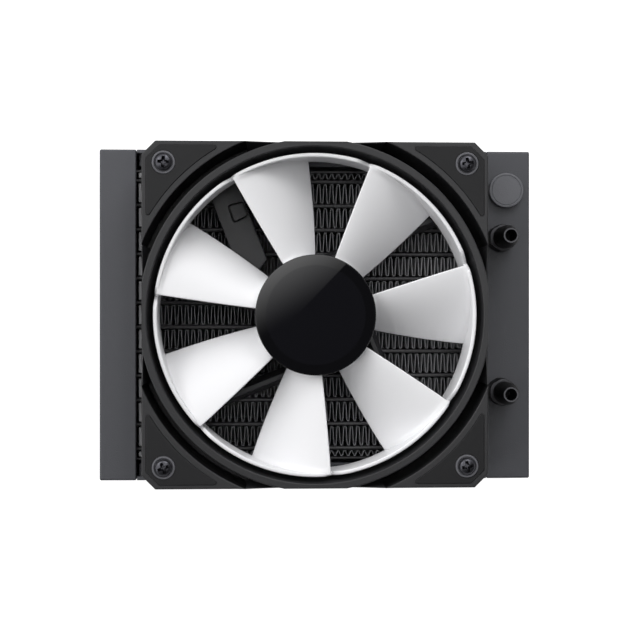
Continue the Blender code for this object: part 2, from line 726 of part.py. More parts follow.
def pad_outline(grow):
    """Outline of the pad in the +X +Y corner, about the fan's centre: a triangle with a chamfered corner,
    round tips and a hollow inner side that follows the duct."""
    edge = FAN_HALF - PAD_INSET + grow
    tip = PAD_TIP_RADIUS + grow
    inner = PAD_INNER_RADIUS - grow
    chamfer = PAD_CHAMFER + grow * (2 - math.sqrt(2))
    tip_y = edge - tip
    tip_x = math.sqrt((inner + tip) ** 2 - tip_y**2)
    turn = math.atan2(tip_y, tip_x)
    half = [(edge - chamfer, edge)]
    for i in range(PAD_TIP_STEPS + 1):
        angle = math.pi / 2 + (math.pi / 2 + turn) * i / PAD_TIP_STEPS
        half.append((tip_x + tip * math.cos(angle), tip_y + tip * math.sin(angle)))
    for i in range(1, PAD_ARC_STEPS + 1):
        angle = turn + (math.pi / 4 - turn) * i / PAD_ARC_STEPS
        half.append((inner * math.cos(angle), inner * math.sin(angle)))
    mirrored = [(y, x) for x, y in reversed(half[:-1])]
    return half + mirrored


def at_corner(point, index):
    """The +X +Y corner's point turned to the corner with this index, about the fan's centre."""
    x, y = point
    for _ in range(index):
        x, y = -y, x
    return x, y


def groove_angles():
    """Polar angles of the sections of the +X +Y corner's groove, closest together where its end webs start."""
    web_start = math.acos(FAN_HALF / DUCT_RADIUS)
    web_end = math.acos(FAN_HALF / GROOVE_RADIUS)
    step = 2 * math.pi / DUCT_SIDES
    half = [web_start, (web_start + web_end) / 2, web_end - GROOVE_STEP, web_end + GROOVE_STEP]
    count = int((math.pi / 4 - half[-1]) / step)
    half += [math.pi / 4 - step * i for i in range(count, -1, -1)]
    return half + [math.pi / 2 - angle for angle in reversed(half[:-1])]


def groove_section(angle):
    """The groove's section at one angle: deep behind the corner block, and near the frame's side a notch
    that slopes up to the top of the web there."""
    side = FAN_HALF / max(abs(math.cos(angle)), abs(math.sin(angle)))
    above = FAN_FRONT + CUT
    if side < GROOVE_RADIUS:
        edge = FAN_FRONT - WEB_DROP * (GROOVE_RADIUS - side) / GROOVE_WIDTH
        floor = edge - WEB_SLOPE * (side - DUCT_RADIUS)
        outside = side + CUT
        corners = [(side, edge), (outside, edge), (outside, (edge + above) / 2), (outside, above)]
    else:
        floor = GROOVE_FLOOR
        middle = (DUCT_RADIUS + GROOVE_RADIUS) / 2
        corners = [(middle, floor), (GROOVE_RADIUS, floor), (GROOVE_RADIUS, (floor + above) / 2)]
        corners.append((GROOVE_RADIUS, above))
    places = [(DUCT_RADIUS, above), (DUCT_RADIUS, floor), *corners]
    return [(FAN_X + radius * math.cos(angle), radius * math.sin(angle), z) for radius, z in places]


def make_frame():
    """Fan frame: a chamfered square block bored for the impeller, with a deep groove behind each corner,
    seats for the pads, four struts and the motor base with its bearing tube."""
    frame = box_between(
        "fan_frame",
        (FAN_X - FAN_HALF, -FAN_HALF, FAN_REAR),
        (FAN_X + FAN_HALF, FAN_HALF, FAN_FRONT),
        "black_plastic",
        edge=FRAME_CHAMFER,
        upright_only=True,
    )
    above = FAN_FRONT + CUT
    below = FAN_REAR - CUT
    bore = [
        (0.0, above),
        (MOUTH_RADIUS, above),
        (MOUTH_RADIUS, FAN_FRONT),
        (BORE_RADIUS, FAN_FRONT - MOUTH_DEPTH),
        (BORE_RADIUS, below),
        (0.0, below),
    ]
    cut(frame, turned("frame_bore", bore, DUCT_SIDES, FAN_X, 0.0))
    for index in range(len(corner_signs())):
        rings = [groove_section(angle + index * math.pi / 2) for angle in groove_angles()]
        cut(frame, skin(f"frame_groove_{index}", rings))
    for index, (sign_x, sign_y) in enumerate(corner_signs()):
        turned_outline = [at_corner(point, index) for point in pad_outline(GAP)]
        outline = [(FAN_X + x, y) for x, y in turned_outline]
        cut(frame, extruded(f"pad_seat_{index}", outline, FAN_FRONT - PAD_SEAT_DEPTH, above))
        x, y = FAN_X + sign_x * SCREW_OFFSET, sign_y * SCREW_OFFSET
        cut(frame, rod_cutter(f"screw_hole_{index}", SCREW_HOLE_RADIUS, below, above, x, y))
    for index in range(STRUT_COUNT):
        add_to(frame, make_strut(index))
    add_to(frame, make_cable_strut())
    add_to(frame, make_motor_base())
    return frame


def strut_frame(index):
    """Turns a strut's own frame, which runs along X at the fan's centre, to its place in the fan."""
    angle = STRUT_ANGLE - math.pi / 2 - index * math.pi / 2
    return Matrix.Translation((FAN_X, 0.0, 0.0)) @ Matrix.Rotation(angle, 4, "Z")


def make_strut(index):
    """A ridge from the motor base's rim to the duct, tangent to a circle about the axis."""
    foot, crest = STRUT_FOOT / 2, STRUT_CREST / 2
    low, high = FAN_REAR, FAN_REAR + STRUT_HEIGHT
    section = [(-foot, low), (-crest, high), (crest, high), (foot, low)]
    rings = []
    for reach in (BASE_RADIUS - BASE_RIM_WALL / 2, BORE_RADIUS + STRUT_SINK):
        places = [(STRUT_OFFSET + aside, z) for aside, z in section]
        rings.append([(math.sqrt(reach**2 - y**2), y, z) for y, z in places])
    strut = skin(f"strut_{index}", rings)
    strut.matrix_world = strut_frame(index)
    return strut


def make_cable_strut():
    """The wide cover over the fan's lead, open to the back as a channel."""
    reach = BORE_RADIUS + STRUT_SINK
    inner, outer = CABLE_STRUT_INNER, CABLE_STRUT_OUTER
    top = FAN_REAR + CABLE_STRUT_HEIGHT
    corners = [
        (math.sqrt(CABLE_STRUT_END**2 - inner**2), inner),
        (math.sqrt(reach**2 - inner**2), inner),
        (math.sqrt(reach**2 - outer**2), outer),
        (math.sqrt(CABLE_STRUT_END**2 - outer**2), outer),
    ]
    cover = extruded("cable_strut", corners, FAN_REAR + GAP, top)
    cover.matrix_world = strut_frame(CABLE_STRUT_INDEX)
    wall = CABLE_STRUT_WALL
    channel_start = corners[0][0] + wall
    channel = box_between(
        "cable_channel",
        (channel_start, inner + wall, FAN_REAR - CUT),
        (BORE_RADIUS - STRUT_FOOT, STRUT_OFFSET - STRUT_FOOT / 2 - GAP, top - wall),
    )
    channel.matrix_world = strut_frame(CABLE_STRUT_INDEX)
    return cut(cover, channel)


def make_motor_base():
    """A dish with a rim for the circuit board and a tube for the bearing."""
    profile = [
        (0.0, BASE_TOP),
        (BEARING_TUBE_BORE, BASE_TOP),
        (BEARING_TUBE_BORE, BEARING_TUBE_TOP),
        (BEARING_TUBE_RADIUS, BEARING_TUBE_TOP),
        (BEARING_TUBE_RADIUS, BASE_TOP),
        (BASE_INNER, BASE_TOP),
        (BASE_INNER, BASE_RIM_TOP),
        (BASE_RADIUS, BASE_RIM_TOP),
        (BASE_RADIUS, FAN_REAR),
        (0.0, FAN_REAR),
    ]
    return turned("motor_base", profile, BASE_SIDES, FAN_X, 0.0)


def make_corner_pieces():
    """A rubber pad, a cup washer and a screw in each corner of the frame."""
    hole = circle_points(WASHER_RADIUS + GAP, SMALL_SIDES, SCREW_OFFSET, SCREW_OFFSET)
    pad_top = PAD_BOTTOM + PAD_THICKNESS
    master = None
    names = ("top_right", "top_left", "bottom_left", "bottom_right")
    for index, ((sign_x, sign_y), corner) in enumerate(zip(corner_signs(), names)):
        name = f"corner_pad_{corner}"
        if master is None:
            pad = extruded(name, pad_outline(0.0), PAD_BOTTOM, pad_top, "black_rubber", (hole,))
            master = pad.data
        else:
            pad = add_object(name, master, "black_rubber")
        pad.location = (FAN_X, 0.0, 0.0)
        pad.rotation_euler.z = index * math.pi / 2
        x, y = FAN_X + sign_x * SCREW_OFFSET, sign_y * SCREW_OFFSET
        make_washer(f"washer_{corner}", x, y)
        make_screw(f"screw_{corner}", x, y)


def make_washer(name, x, y):
    """A cup washer with a raised rim round the screw's head."""
    rim = WASHER_RADIUS - WASHER_RIM_WIDTH
    top = PAD_BOTTOM + WASHER_RIM_HEIGHT
    bore = SCREW_RADIUS + GAP
    profile = [
        (rim, top),
        (WASHER_RADIUS, top),
        (WASHER_RADIUS, PAD_BOTTOM),
        (bore, PAD_BOTTOM),
        (bore, WASHER_TOP),
        (rim, WASHER_TOP),
    ]
    return turned(name, profile, SMALL_SIDES, x, y, "dark_steel", ring=True)


def make_screw(name, x, y):
    """A long pan-head screw with a cross recess, from the washer down into the radiator's ear."""
    seat = WASHER_TOP + GAP
    top = seat + SCREW_HEAD_HEIGHT
    end = RADIATOR_THICKNESS - CHANNEL_SHEET - SCREW_REACH
    profile = [
        (0.0, top),
        (SCREW_CROWN_RADIUS, top - SCREW_CROWN),
        (SCREW_HEAD_RADIUS, seat + SCREW_HEAD_SIDE),
        (SCREW_HEAD_RADIUS, seat),
        (SCREW_RADIUS, seat),
        (SCREW_RADIUS, end),
        (0.0, end),
    ]
    screw = turned(name, profile, SMALL_SIDES, x, y, "dark_steel")
    long, wide = CROSS_LENGTH / 2, CROSS_WIDTH / 2
    arms = [(long, wide), (wide, wide), (wide, long)]
    outline = []
    for index in range(4):
        outline += [at_corner(point, index) for point in arms]
    recess = extruded(f"{name}_recess", outline, top - CROSS_DEPTH, top + CUT)
    recess.location = (x, y, 0.0)
    recess.rotation_euler.z = SCREW_TURN
    return cut(screw, recess)


def make_impeller(axis):
    """Seven twisted blades between a hub cup and a ring with a saw-shaped front edge."""
    inner = HUB_RADIUS - HUB_WALL
    under = HUB_TOP - HUB_WALL
    bore_top = SHAFT_TOP + GAP
    cup = [
        (0.0, HUB_TOP),
        (HUB_RADIUS, HUB_TOP),
        (HUB_RADIUS, HUB_BOTTOM),
        (inner, HUB_BOTTOM),
        (inner, under),
        (HUB_BOSS_RADIUS, under),
        (HUB_BOSS_RADIUS, HUB_BOSS_BOTTOM),
        (SHAFT_BORE, HUB_BOSS_BOTTOM),
        (SHAFT_BORE, bore_top),
        (0.0, bore_top),
    ]
    impeller = turned("impeller", cup, 4 * BLADE_COUNT, 0.0, 0.0, "white_plastic")
    impeller.parent = axis
    add_to(impeller, make_ring())
    for index in range(BLADE_COUNT):
        add_to(impeller, make_blade(index))
    return impeller


def make_ring():
    """The outer ring, skinned from a rectangle whose front edge is a saw, high at each leading edge."""
    pitch = 2 * math.pi / BLADE_COUNT
    inner = RING_RADIUS - RING_WALL
    rings = []
    for blade in range(BLADE_COUNT):
        lead = BLADE_LEAD_ANGLE + RING_STEP - blade * pitch
        for i in range(RING_STATIONS + 1):
            share = i / RING_STATIONS
            angle = lead - (pitch - RING_STEP) * share
            front = RING_FRONT - RING_DROP * share
            rings.append(
                [
                    around(angle, inner, RING_REAR),
                    around(angle, inner, front),
                    around(angle, RING_RADIUS, front),
                    around(angle, RING_RADIUS, RING_REAR),
                ]
            )
    ring = skin("impeller_ring", rings, closed=True)
    ring.location = (FAN_X, 0.0, 0.0)
    return ring


def blade_half_thickness(share):
    """Half the blade's thickness along its chord, which is thickest at two fifths of it."""
    peak = 0.4 * 0.6**1.5
    bulge = share * (1 - share) ** 1.5 / peak
    return BLADE_THICKNESS / 2 * (BLADE_EDGE_SHARE + BLADE_BULGE_SHARE * bulge)


def blade_point(radius, share, side):
    """A point of the blade's front face (side 1) or rear face (side -1), at a share of its chord."""
    span = (radius - HUB_RADIUS) / (RING_RADIUS - HUB_RADIUS)
    lead = BLADE_LEAD_ANGLE + BLADE_LEAD_TURN * (1 - span)
    sweep = BLADE_ROOT_SWEEP + (BLADE_TIP_SWEEP - BLADE_ROOT_SWEEP) * span
    depth = BLADE_ROOT_DEPTH + (BLADE_TIP_DEPTH - BLADE_ROOT_DEPTH) * span
    root_height = HUB_TOP - BLADE_ROOT_DROP
    tip_height = RING_FRONT - BLADE_LEAD_DROP
    lead_height = root_height + (tip_height - root_height) * span
    fall = share - BLADE_CAMBER * share * (1 - share)
    slope = 1 - BLADE_CAMBER * (1 - 2 * share)
    run = radius * sweep
    drop = depth * slope
    length = math.hypot(run, drop)
    half = side * blade_half_thickness(share)
    angle = lead - sweep * share - half * drop / length / radius
    height = lead_height - depth * fall + half * run / length
    return around(angle, radius, height)


def make_blade(index):
    """A cambered, twisted blade skinned from the hub wall to the ring wall."""
    start = HUB_RADIUS - HUB_WALL / 2
    end = RING_RADIUS - RING_WALL / 2
    shares = [i / (BLADE_STATIONS - 1) for i in range(BLADE_STATIONS)]
    rings = []
    for i in range(BLADE_SECTIONS):
        radius = start + (end - start) * i / (BLADE_SECTIONS - 1)
        front = [blade_point(radius, share, 1) for share in shares]
        rear = [blade_point(radius, share, -1) for share in reversed(shares)]
        rings.append(front + rear)
    blade = skin(f"blade_{index}", rings)
    blade.location = (FAN_X, 0.0, 0.0)
    blade.rotation_euler.z = 2 * math.pi * index / BLADE_COUNT
    return blade


def make_rotor(axis):
    """What turns with the impeller: hub cap, yoke, magnet, shaft and the clip that keeps the shaft in."""
    under_cap = HUB_TOP + GAP
    cap = [
        (0.0, CAP_TOP),
        (HUB_CAP_FACE_RADIUS, CAP_TOP),
        (HUB_CAP_RADIUS - HUB_CAP_EDGE / 2, CAP_TOP - HUB_CAP_SLOPE),
        (HUB_CAP_RADIUS, CAP_TOP - HUB_CAP_SLOPE - HUB_CAP_EDGE),
        (HUB_CAP_RADIUS, under_cap),
        (HUB_CAP_RADIUS - HUB_CAP_WALL, under_cap),
        (HUB_CAP_RADIUS - HUB_CAP_WALL, CAP_TOP - HUB_CAP_SLOPE - HUB_CAP_WALL),
        (0.0, CAP_TOP - HUB_CAP_SLOPE - HUB_CAP_WALL),
    ]
    turned("hub_cap", cap, HUB_CAP_SIDES, 0.0, 0.0, "gloss_black_plastic").parent = axis
    inner = YOKE_RADIUS - YOKE_WALL
    centre = HUB_BOSS_RADIUS + GAP
    yoke = [
        (centre, YOKE_TOP),
        (YOKE_RADIUS, YOKE_TOP),
        (YOKE_RADIUS, YOKE_BOTTOM),
        (inner, YOKE_BOTTOM),
        (inner, YOKE_TOP - YOKE_WALL),
        (centre, YOKE_TOP - YOKE_WALL),
    ]
    turned("rotor_yoke", yoke, MOTOR_SIDES, 0.0, 0.0, "bright_steel", ring=True).parent = axis
    magnet_inner = MAGNET_RADIUS - MAGNET_THICKNESS
    magnet = [
        (MAGNET_RADIUS, MAGNET_TOP),
        (MAGNET_RADIUS, MAGNET_BOTTOM),
        (magnet_inner, MAGNET_BOTTOM),
        (magnet_inner, MAGNET_TOP),
    ]
    turned("magnet_ring", magnet, MOTOR_SIDES, 0.0, 0.0, "magnet", ring=True).parent = axis
    neck = SHAFT_RADIUS - CLIP_GROOVE_DEPTH
    shaft = [
        (0.0, SHAFT_TOP),
        (SHAFT_RADIUS, SHAFT_TOP),
        (SHAFT_RADIUS, CLIP_GROOVE_TOP),
        (neck, CLIP_GROOVE_TOP),
        (neck, CLIP_GROOVE_BOTTOM),
        (SHAFT_RADIUS, CLIP_GROOVE_BOTTOM),
        (SHAFT_RADIUS, SHAFT_BOTTOM),
        (0.0, SHAFT_BOTTOM),
    ]
    turned("shaft", shaft, SMALL_SIDES, 0.0, 0.0, "bright_steel").parent = axis
    make_clip(axis, neck + GAP, (CLIP_GROOVE_BOTTOM + CLIP_GROOVE_TOP) / 2)


def make_clip(axis, bore, middle):
    """A C-shaped clip that sits in the shaft's groove below the bearing sleeve."""
    opening = math.asin(CLIP_OPENING / 2 / bore)
    start, end = opening, 2 * math.pi - opening
    turns = [start + (end - start) * i / CLIP_STEPS for i in range(CLIP_STEPS + 1)]
    outline = [(CLIP_RADIUS * math.cos(a), CLIP_RADIUS * math.sin(a)) for a in turns]
    outline += [(bore * math.cos(a), bore * math.sin(a)) for a in reversed(turns)]
    low, high = middle - CLIP_THICKNESS / 2, middle + CLIP_THICKNESS / 2
    extruded("retaining_clip", outline, low, high, "bright_steel").parent = axis


def stator_outline():
    """Four teeth on a hub ring, each with a wide head towards the magnet."""
    root = STATOR_BORE + STATOR_YOKE_WALL
    shoulder = STATOR_RADIUS - TOOTH_HEAD_DEPTH
    half = TOOTH_WIDTH / 2
    points = []
    for tooth in range(STATOR_TEETH):
        middle = 2 * math.pi * tooth / STATOR_TEETH
        local = [(math.sqrt(root**2 - half**2), -half), (shoulder, -half)]
        for i in range(TOOTH_HEAD_STEPS + 1):
            angle = TOOTH_HEAD_HALF_ANGLE * (2 * i / TOOTH_HEAD_STEPS - 1)
            local.append((STATOR_RADIUS * math.cos(angle), STATOR_RADIUS * math.sin(angle)))
        local += [(shoulder, half), (math.sqrt(root**2 - half**2), half)]
        for x, y in local:
            c, s = math.cos(middle), math.sin(middle)
            points.append((FAN_X + x * c - y * s, x * s + y * c))
    return points


def make_stator():
    """Laminated core on the bearing tube, its windings on a bobbin, the board below it and the bearing."""
    bore = circle_points(STATOR_BORE, STATOR_BORE_SIDES, FAN_X)
    extruded("stator_core", stator_outline(), STATOR_BOTTOM, STATOR_TOP, "bright_steel", (bore,))
    make_winding()
    low = BOARD_TOP - BOARD_THICKNESS
    board = [
        (BOARD_RADIUS, BOARD_TOP),
        (BOARD_RADIUS, low),
        (STATOR_BORE, low),
        (STATOR_BORE, BOARD_TOP),
    ]
    turned("circuit_board", board, BOARD_SIDES, FAN_X, 0.0, "circuit_board_green", ring=True)
    sleeve = [
        (SLEEVE_RADIUS, BEARING_TUBE_TOP),
        (SLEEVE_RADIUS, SLEEVE_BOTTOM),
        (SHAFT_BORE, SLEEVE_BOTTOM),
        (SHAFT_BORE, BEARING_TUBE_TOP),
    ]
    turned("bearing_sleeve", sleeve, SMALL_SIDES, FAN_X, 0.0, "bronze", ring=True)


def make_winding():
    """Four coils on one bobbin: a ring under the core that links a wound sleeve round each tooth."""
    ring_inner = STATOR_BORE + GAP
    coil_start = STATOR_BORE + STATOR_YOKE_WALL + GAP
    coil_end = STATOR_RADIUS - TOOTH_HEAD_DEPTH - GAP
    ring_outer = (coil_start + coil_end) / 2
    ring_bottom = BOBBIN_TOP - BOBBIN_SHEET
    ring = [
        (ring_outer, BOBBIN_TOP),
        (ring_outer, ring_bottom),
        (ring_inner, ring_bottom),
        (ring_inner, BOBBIN_TOP),
    ]
    sides = STATOR_BORE_SIDES
    winding = turned("stator_winding", ring, sides, FAN_X, 0.0, "winding_copper", ring=True)
    slot = TOOTH_WIDTH / 2 + GAP
    for index in range(STATOR_TEETH):
        turn = Matrix.Translation((FAN_X, 0.0, 0.0)) @ Matrix.Rotation(index * math.pi / 2, 4, "Z")
        coil = box_between(
            f"coil_{index}",
            (coil_start, -slot - COIL_BUILD, COIL_BOTTOM),
            (coil_end, slot + COIL_BUILD, COIL_TOP),
        )
        coil.matrix_world = turn
        add_to(winding, coil)
    for index in range(STATOR_TEETH):
        turn = Matrix.Translation((FAN_X, 0.0, 0.0)) @ Matrix.Rotation(index * math.pi / 2, 4, "Z")
        tooth = box_between(
            f"coil_slot_{index}",
            (coil_start - CUT, -slot, BOBBIN_TOP),
            (coil_end + CUT, slot, STATOR_TOP + GAP),
        )
        tooth.matrix_world = turn
        cut(winding, tooth)
    return winding


def main():
    clear_scene()
    make_collection(COLLECTION)
    make_collection("cutters", hidden=True)
    make_tanks()
    make_tank_divider()
    make_header_plates()
    make_tubes()
    make_fins()
    make_core_side_plates()
    make_side_channels()
    make_ports()
    make_frame()
    make_corner_pieces()
    make_stator()
    axis = bpy.data.objects.new("fan_axis", None)
    axis.location = (FAN_X, 0.0, 0.0)
    bpy.data.collections[COLLECTION].objects.link(axis)
    make_impeller(axis)
    make_rotor(axis)


main()
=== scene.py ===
"""Looks of a 120 mm liquid cooler radiator with its fan: a Blender add-on that builds round its solids."""

import math

import bmesh
import bpy
import numpy as np
from bpy.props import FloatProperty, FloatVectorProperty, IntProperty, PointerProperty
from mathutils import Matrix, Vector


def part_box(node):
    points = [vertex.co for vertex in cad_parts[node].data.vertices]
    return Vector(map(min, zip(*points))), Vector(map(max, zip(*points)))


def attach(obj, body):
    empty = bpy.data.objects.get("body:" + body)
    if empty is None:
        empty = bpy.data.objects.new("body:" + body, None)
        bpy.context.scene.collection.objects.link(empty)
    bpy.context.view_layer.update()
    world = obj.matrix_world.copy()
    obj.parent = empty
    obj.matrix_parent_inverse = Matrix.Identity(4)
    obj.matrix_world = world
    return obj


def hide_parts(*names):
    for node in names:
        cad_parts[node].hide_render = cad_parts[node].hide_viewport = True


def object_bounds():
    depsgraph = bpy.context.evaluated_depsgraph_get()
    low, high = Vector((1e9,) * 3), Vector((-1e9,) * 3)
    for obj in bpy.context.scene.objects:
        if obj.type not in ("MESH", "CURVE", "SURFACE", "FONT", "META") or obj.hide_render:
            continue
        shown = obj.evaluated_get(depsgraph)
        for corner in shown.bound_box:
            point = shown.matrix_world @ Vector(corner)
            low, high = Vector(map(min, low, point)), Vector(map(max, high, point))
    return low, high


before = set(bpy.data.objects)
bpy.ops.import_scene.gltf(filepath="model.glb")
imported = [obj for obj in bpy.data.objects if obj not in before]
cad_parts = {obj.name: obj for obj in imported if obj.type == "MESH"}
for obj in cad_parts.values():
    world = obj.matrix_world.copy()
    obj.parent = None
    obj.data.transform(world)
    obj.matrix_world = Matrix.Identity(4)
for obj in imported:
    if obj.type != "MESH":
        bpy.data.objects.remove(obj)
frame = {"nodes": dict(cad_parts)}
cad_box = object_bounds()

bl_info = {
    "name": "Liquid cooler radiator with fan",
    "version": (1, 0, 0),
    "blender": (4, 5, 0),
    "location": "View3D > Sidebar > Cooler",
    "description": "Builds a 120 mm radiator with its ringed fan round the solids of its CAD part",
    "category": "Add Mesh",
}

MM = 0.001
BODY = "radiator_and_frame"
ROTOR = "rotor"
# Points that lie closer than this, in metres, become one
WELD = 1e-6
# The fan's corners, anticlockwise from +X +Y
CORNERS = ("top_right", "top_left", "bottom_left", "bottom_right")
# A quarter turn
QUARTER = math.pi / 2


def linear(value):
    """Turns an sRGB hex colour into the linear colour that Blender's sockets take."""
    parts = [(value >> shift & 255) / 255 for shift in (16, 8, 0)]
    return tuple(c / 12.92 if c <= 0.04045 else ((c + 0.055) / 1.055) ** 2.4 for c in parts)


def size(name, default, description):
    """A length that the user may change, in metres, from its default in millimetres."""
    return FloatProperty(
        name=name, default=default * MM, description=description, min=0.0, unit="LENGTH", precision=5
    )


def colour(name, value, description):
    return FloatVectorProperty(
        name=name, default=linear(value), description=description, subtype="COLOR", min=0.0, max=1.0
    )


def ratio(name, default, description, low, high):
    return FloatProperty(name=name, default=default, description=description, min=low, max=high)


def count(name, default, description):
    return IntProperty(name=name, default=default, description=description, min=2, soft_max=512)


# Places that the solids give
def solid(node):
    """Lowest and highest corner of a solid, as arrays."""
    low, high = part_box(node)
    return np.array(low), np.array(high)


def numbered(start):
    return sorted(node for node in frame["nodes"] if node.startswith(start))


FRAME_LOW, FRAME_HIGH = solid("fan_frame")
FAN_X = float(FRAME_LOW[0] + FRAME_HIGH[0]) / 2
FAN_HALF = float(FRAME_HIGH[1] - FRAME_LOW[1]) / 2
FAN_REAR = float(FRAME_LOW[2])
FAN_FRONT = float(FRAME_HIGH[2])
TANK_TOP = float(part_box("right_tank")[1].z)


# Meshes from grids of points
def ring_of(columns):
    return np.linspace(0.0, 2 * math.pi, columns, endpoint=False)


def rounded(corners, radii, steps=4):
    """Rounds every corner of closed outlines, given as an array (..., corner, 2).

    Each corner becomes an arc that touches its two sides; its points come from turning one end
    radius of the arc into the other. A point just off each end of the arc keeps the flats flat.
    No arc takes more than 0.45 of a side, so a side of no length leaves its corners sharp.
    """
    corners = np.asarray(corners, float)
    radii = np.broadcast_to(np.asarray(radii, float), corners.shape[:-1])
    sides = [np.roll(corners, shift, axis=-2) - corners for shift in (1, -1)]
    lengths = [np.linalg.norm(side, axis=-1) for side in sides]
    back, ahead = [side / np.maximum(n, 1e-9)[..., None] for side, n in zip(sides, lengths)]
    half = np.arccos(np.clip((back * ahead).sum(-1), -1.0, 1.0)) / 2
    half = np.clip(half, 1e-4, QUARTER - 1e-4)
    reach = np.minimum(radii / np.tan(half), 0.45 * np.minimum(*lengths))
    middle = back + ahead
    middle /= np.maximum(np.linalg.norm(middle, axis=-1), 1e-9)[..., None]
    centre = corners + middle * (reach / np.cos(half))[..., None]
    start = corners + back * reach[..., None] - centre
    end = corners + ahead * reach[..., None] - centre
    turn = math.pi - 2 * half[..., None, None]
    share = np.linspace(0.0, 1.0, steps + 1)[:, None]
    arc = centre[..., None, :] + (
        np.sin((1 - share) * turn) * start[..., None, :] + np.sin(share * turn) * end[..., None, :]
    ) / np.sin(turn)
    hold = [np.minimum(0.4 * reach, 0.04 * n)[..., None] for n in lengths]
    first = corners + back * (reach[..., None] + hold[0])
    last = corners + ahead * (reach[..., None] + hold[1])
    made = np.concatenate([first[..., None, :], arc, last[..., None, :]], axis=-2)
    return made.reshape(*corners.shape[:-2], -1, 2)


def shell(points, wrap_rows=False, wrap_columns=False, ends=()):
    """Faces of a grid of points (row, column, 3), with the rows named in ends closed by one face."""
    rows, columns = points.shape[:2]
    index = np.arange(rows * columns).reshape(rows, columns)
    caps = [index[row].tolist() for row in ends]
    if wrap_rows:
        index = np.vstack([index, index[:1]])
    if wrap_columns:
        index = np.hstack([index, index[:, :1]])
    quads = np.stack([index[:-1, :-1], index[1:, :-1], index[1:, 1:], index[:-1, 1:]], axis=-1)
    return points.reshape(-1, 3), quads.reshape(-1, 4).tolist() + caps


def sleeve(rows, closed=False):
    """Outlines joined one to the next, with both ends capped or the last one joined to the first."""
    return shell(np.stack(rows), closed, True, () if closed else (0, -1))


def carried(section, angle, x=FAN_X, y=0.0, closed=True):
    """Sections of (radius, height) points, one for each angle, set round an upright axis."""
    radius, height = section[..., 0], section[..., 1]
    turn = angle[:, None]
    points = np.stack([x + radius * np.cos(turn), y + radius * np.sin(turn), height], axis=-1)
    return shell(points, wrap_rows=True, wrap_columns=closed)


def revolved(profile, x=FAN_X, y=0.0, columns=96, closed=False):
    """A profile of (radius, height) points carried round an upright axis at (x, y)."""
    return carried(np.tile(profile, (columns, 1, 1)), ring_of(columns), x, y, closed)


def turned(corners, radii, x=FAN_X, y=0.0, columns=96, closed=False):
    """Rounds a profile's corners, by radii in mm, and revolves it; an open one's ends stay on the axis."""
    radii = np.array(np.broadcast_to(np.asarray(radii, float), len(corners))) * MM
    if not closed:
        radii[[0, -1]] = 0.0
    return revolved(rounded(corners, radii), x, y, columns, closed)


def inward(outline):
    """How far each point of a closed outline moves for an inset of one, to keep its sides parallel."""
    side = np.roll(outline, -1, axis=0) - outline
    length = np.maximum(np.linalg.norm(side, axis=1), 1e-12)[:, None]
    normal = np.stack([-side[:, 1], side[:, 0]], axis=1) / length
    x, y = outline.T
    normal *= np.sign((x * np.roll(y, -1) - np.roll(x, -1) * y).sum())
    before = np.roll(normal, 1, axis=0)
    return (normal + before) / (1 + (normal * before).sum(1))[:, None]


def at_height(outline, z):
    """A flat outline set at a height."""
    return np.column_stack([outline, np.full(len(outline), z)])


def lofted(outline, profile):
    """A flat outline carried through (inset, height) pairs, with both ends closed."""
    outline = np.asarray(outline, float)
    step = inward(outline)
    return sleeve([at_height(outline + step * inset, z) for inset, z in profile])


# A flat face keeps its own row of points this many edge radii in from its edge
HOLD = 1.4


def slab_profile(low, high, edge, foot=0.0):
    """Inset and height pairs of a plate whose top edge is rounded, and its bottom edge too if foot is set."""
    turn = np.linspace(0.0, QUARTER, 5)
    top = [(edge * (1 - math.cos(a)), high - edge * (1 - math.sin(a))) for a in turn]
    top.append((edge * HOLD, high))
    if not foot:
        return [(0.0, low)] + top
    bottom = [(foot * (1 - math.sin(a)), low + foot * (1 - math.cos(a))) for a in turn]
    return [(foot * HOLD, low)] + bottom + top


def into_fan(one, angle):
    """A shell made about the origin, turned about the upright axis and moved to the fan's."""
    points, faces = one
    x, y, z = points.T
    c, s = math.cos(angle), math.sin(angle)
    return np.stack([x * c - y * s + FAN_X, x * s + y * c, z], axis=1), faces


def mesh_of(name, shells):
    """One mesh from several shells, welded at seams and poles, with its faces outwards."""
    points, faces, start = [], [], 0
    for one, quads in shells:
        points.append(one)
        faces += [[i + start for i in face] for face in quads]
        start += len(one)
    mesh = bpy.data.meshes.new(name)
    mesh.from_pydata(np.concatenate(points).tolist(), [], faces)
    bm = bmesh.new()
    bm.from_mesh(mesh)
    bmesh.ops.remove_doubles(bm, verts=bm.verts, dist=WELD)
    bmesh.ops.dissolve_degenerate(bm, dist=WELD, edges=bm.edges)
    bmesh.ops.recalc_face_normals(bm, faces=bm.faces)
    bm.to_mesh(mesh)
    bm.free()
    return mesh


def cut_from(mesh, shells):
    """The mesh less some closed shells."""
    body = bpy.data.objects.new("body", mesh)
    tool = bpy.data.objects.new("tool", mesh_of("tool", shells))
    for one in (body, tool):
        bpy.context.scene.collection.objects.link(one)
    modifier = body.modifiers.new("cut", "BOOLEAN")
    modifier.object = tool
    graph = bpy.context.evaluated_depsgraph_get()
    made = bpy.data.meshes.new_from_object(body.evaluated_get(graph))
    for one in (body, tool):
        bpy.data.objects.remove(one)
    return made


def shell_of(mesh):
    """A mesh's points and faces, to join with other shells."""
    points = np.empty(len(mesh.vertices) * 3)
    mesh.vertices.foreach_get("co", points)
    return points.reshape(-1, 3), [list(one.vertices) for one in mesh.polygons]


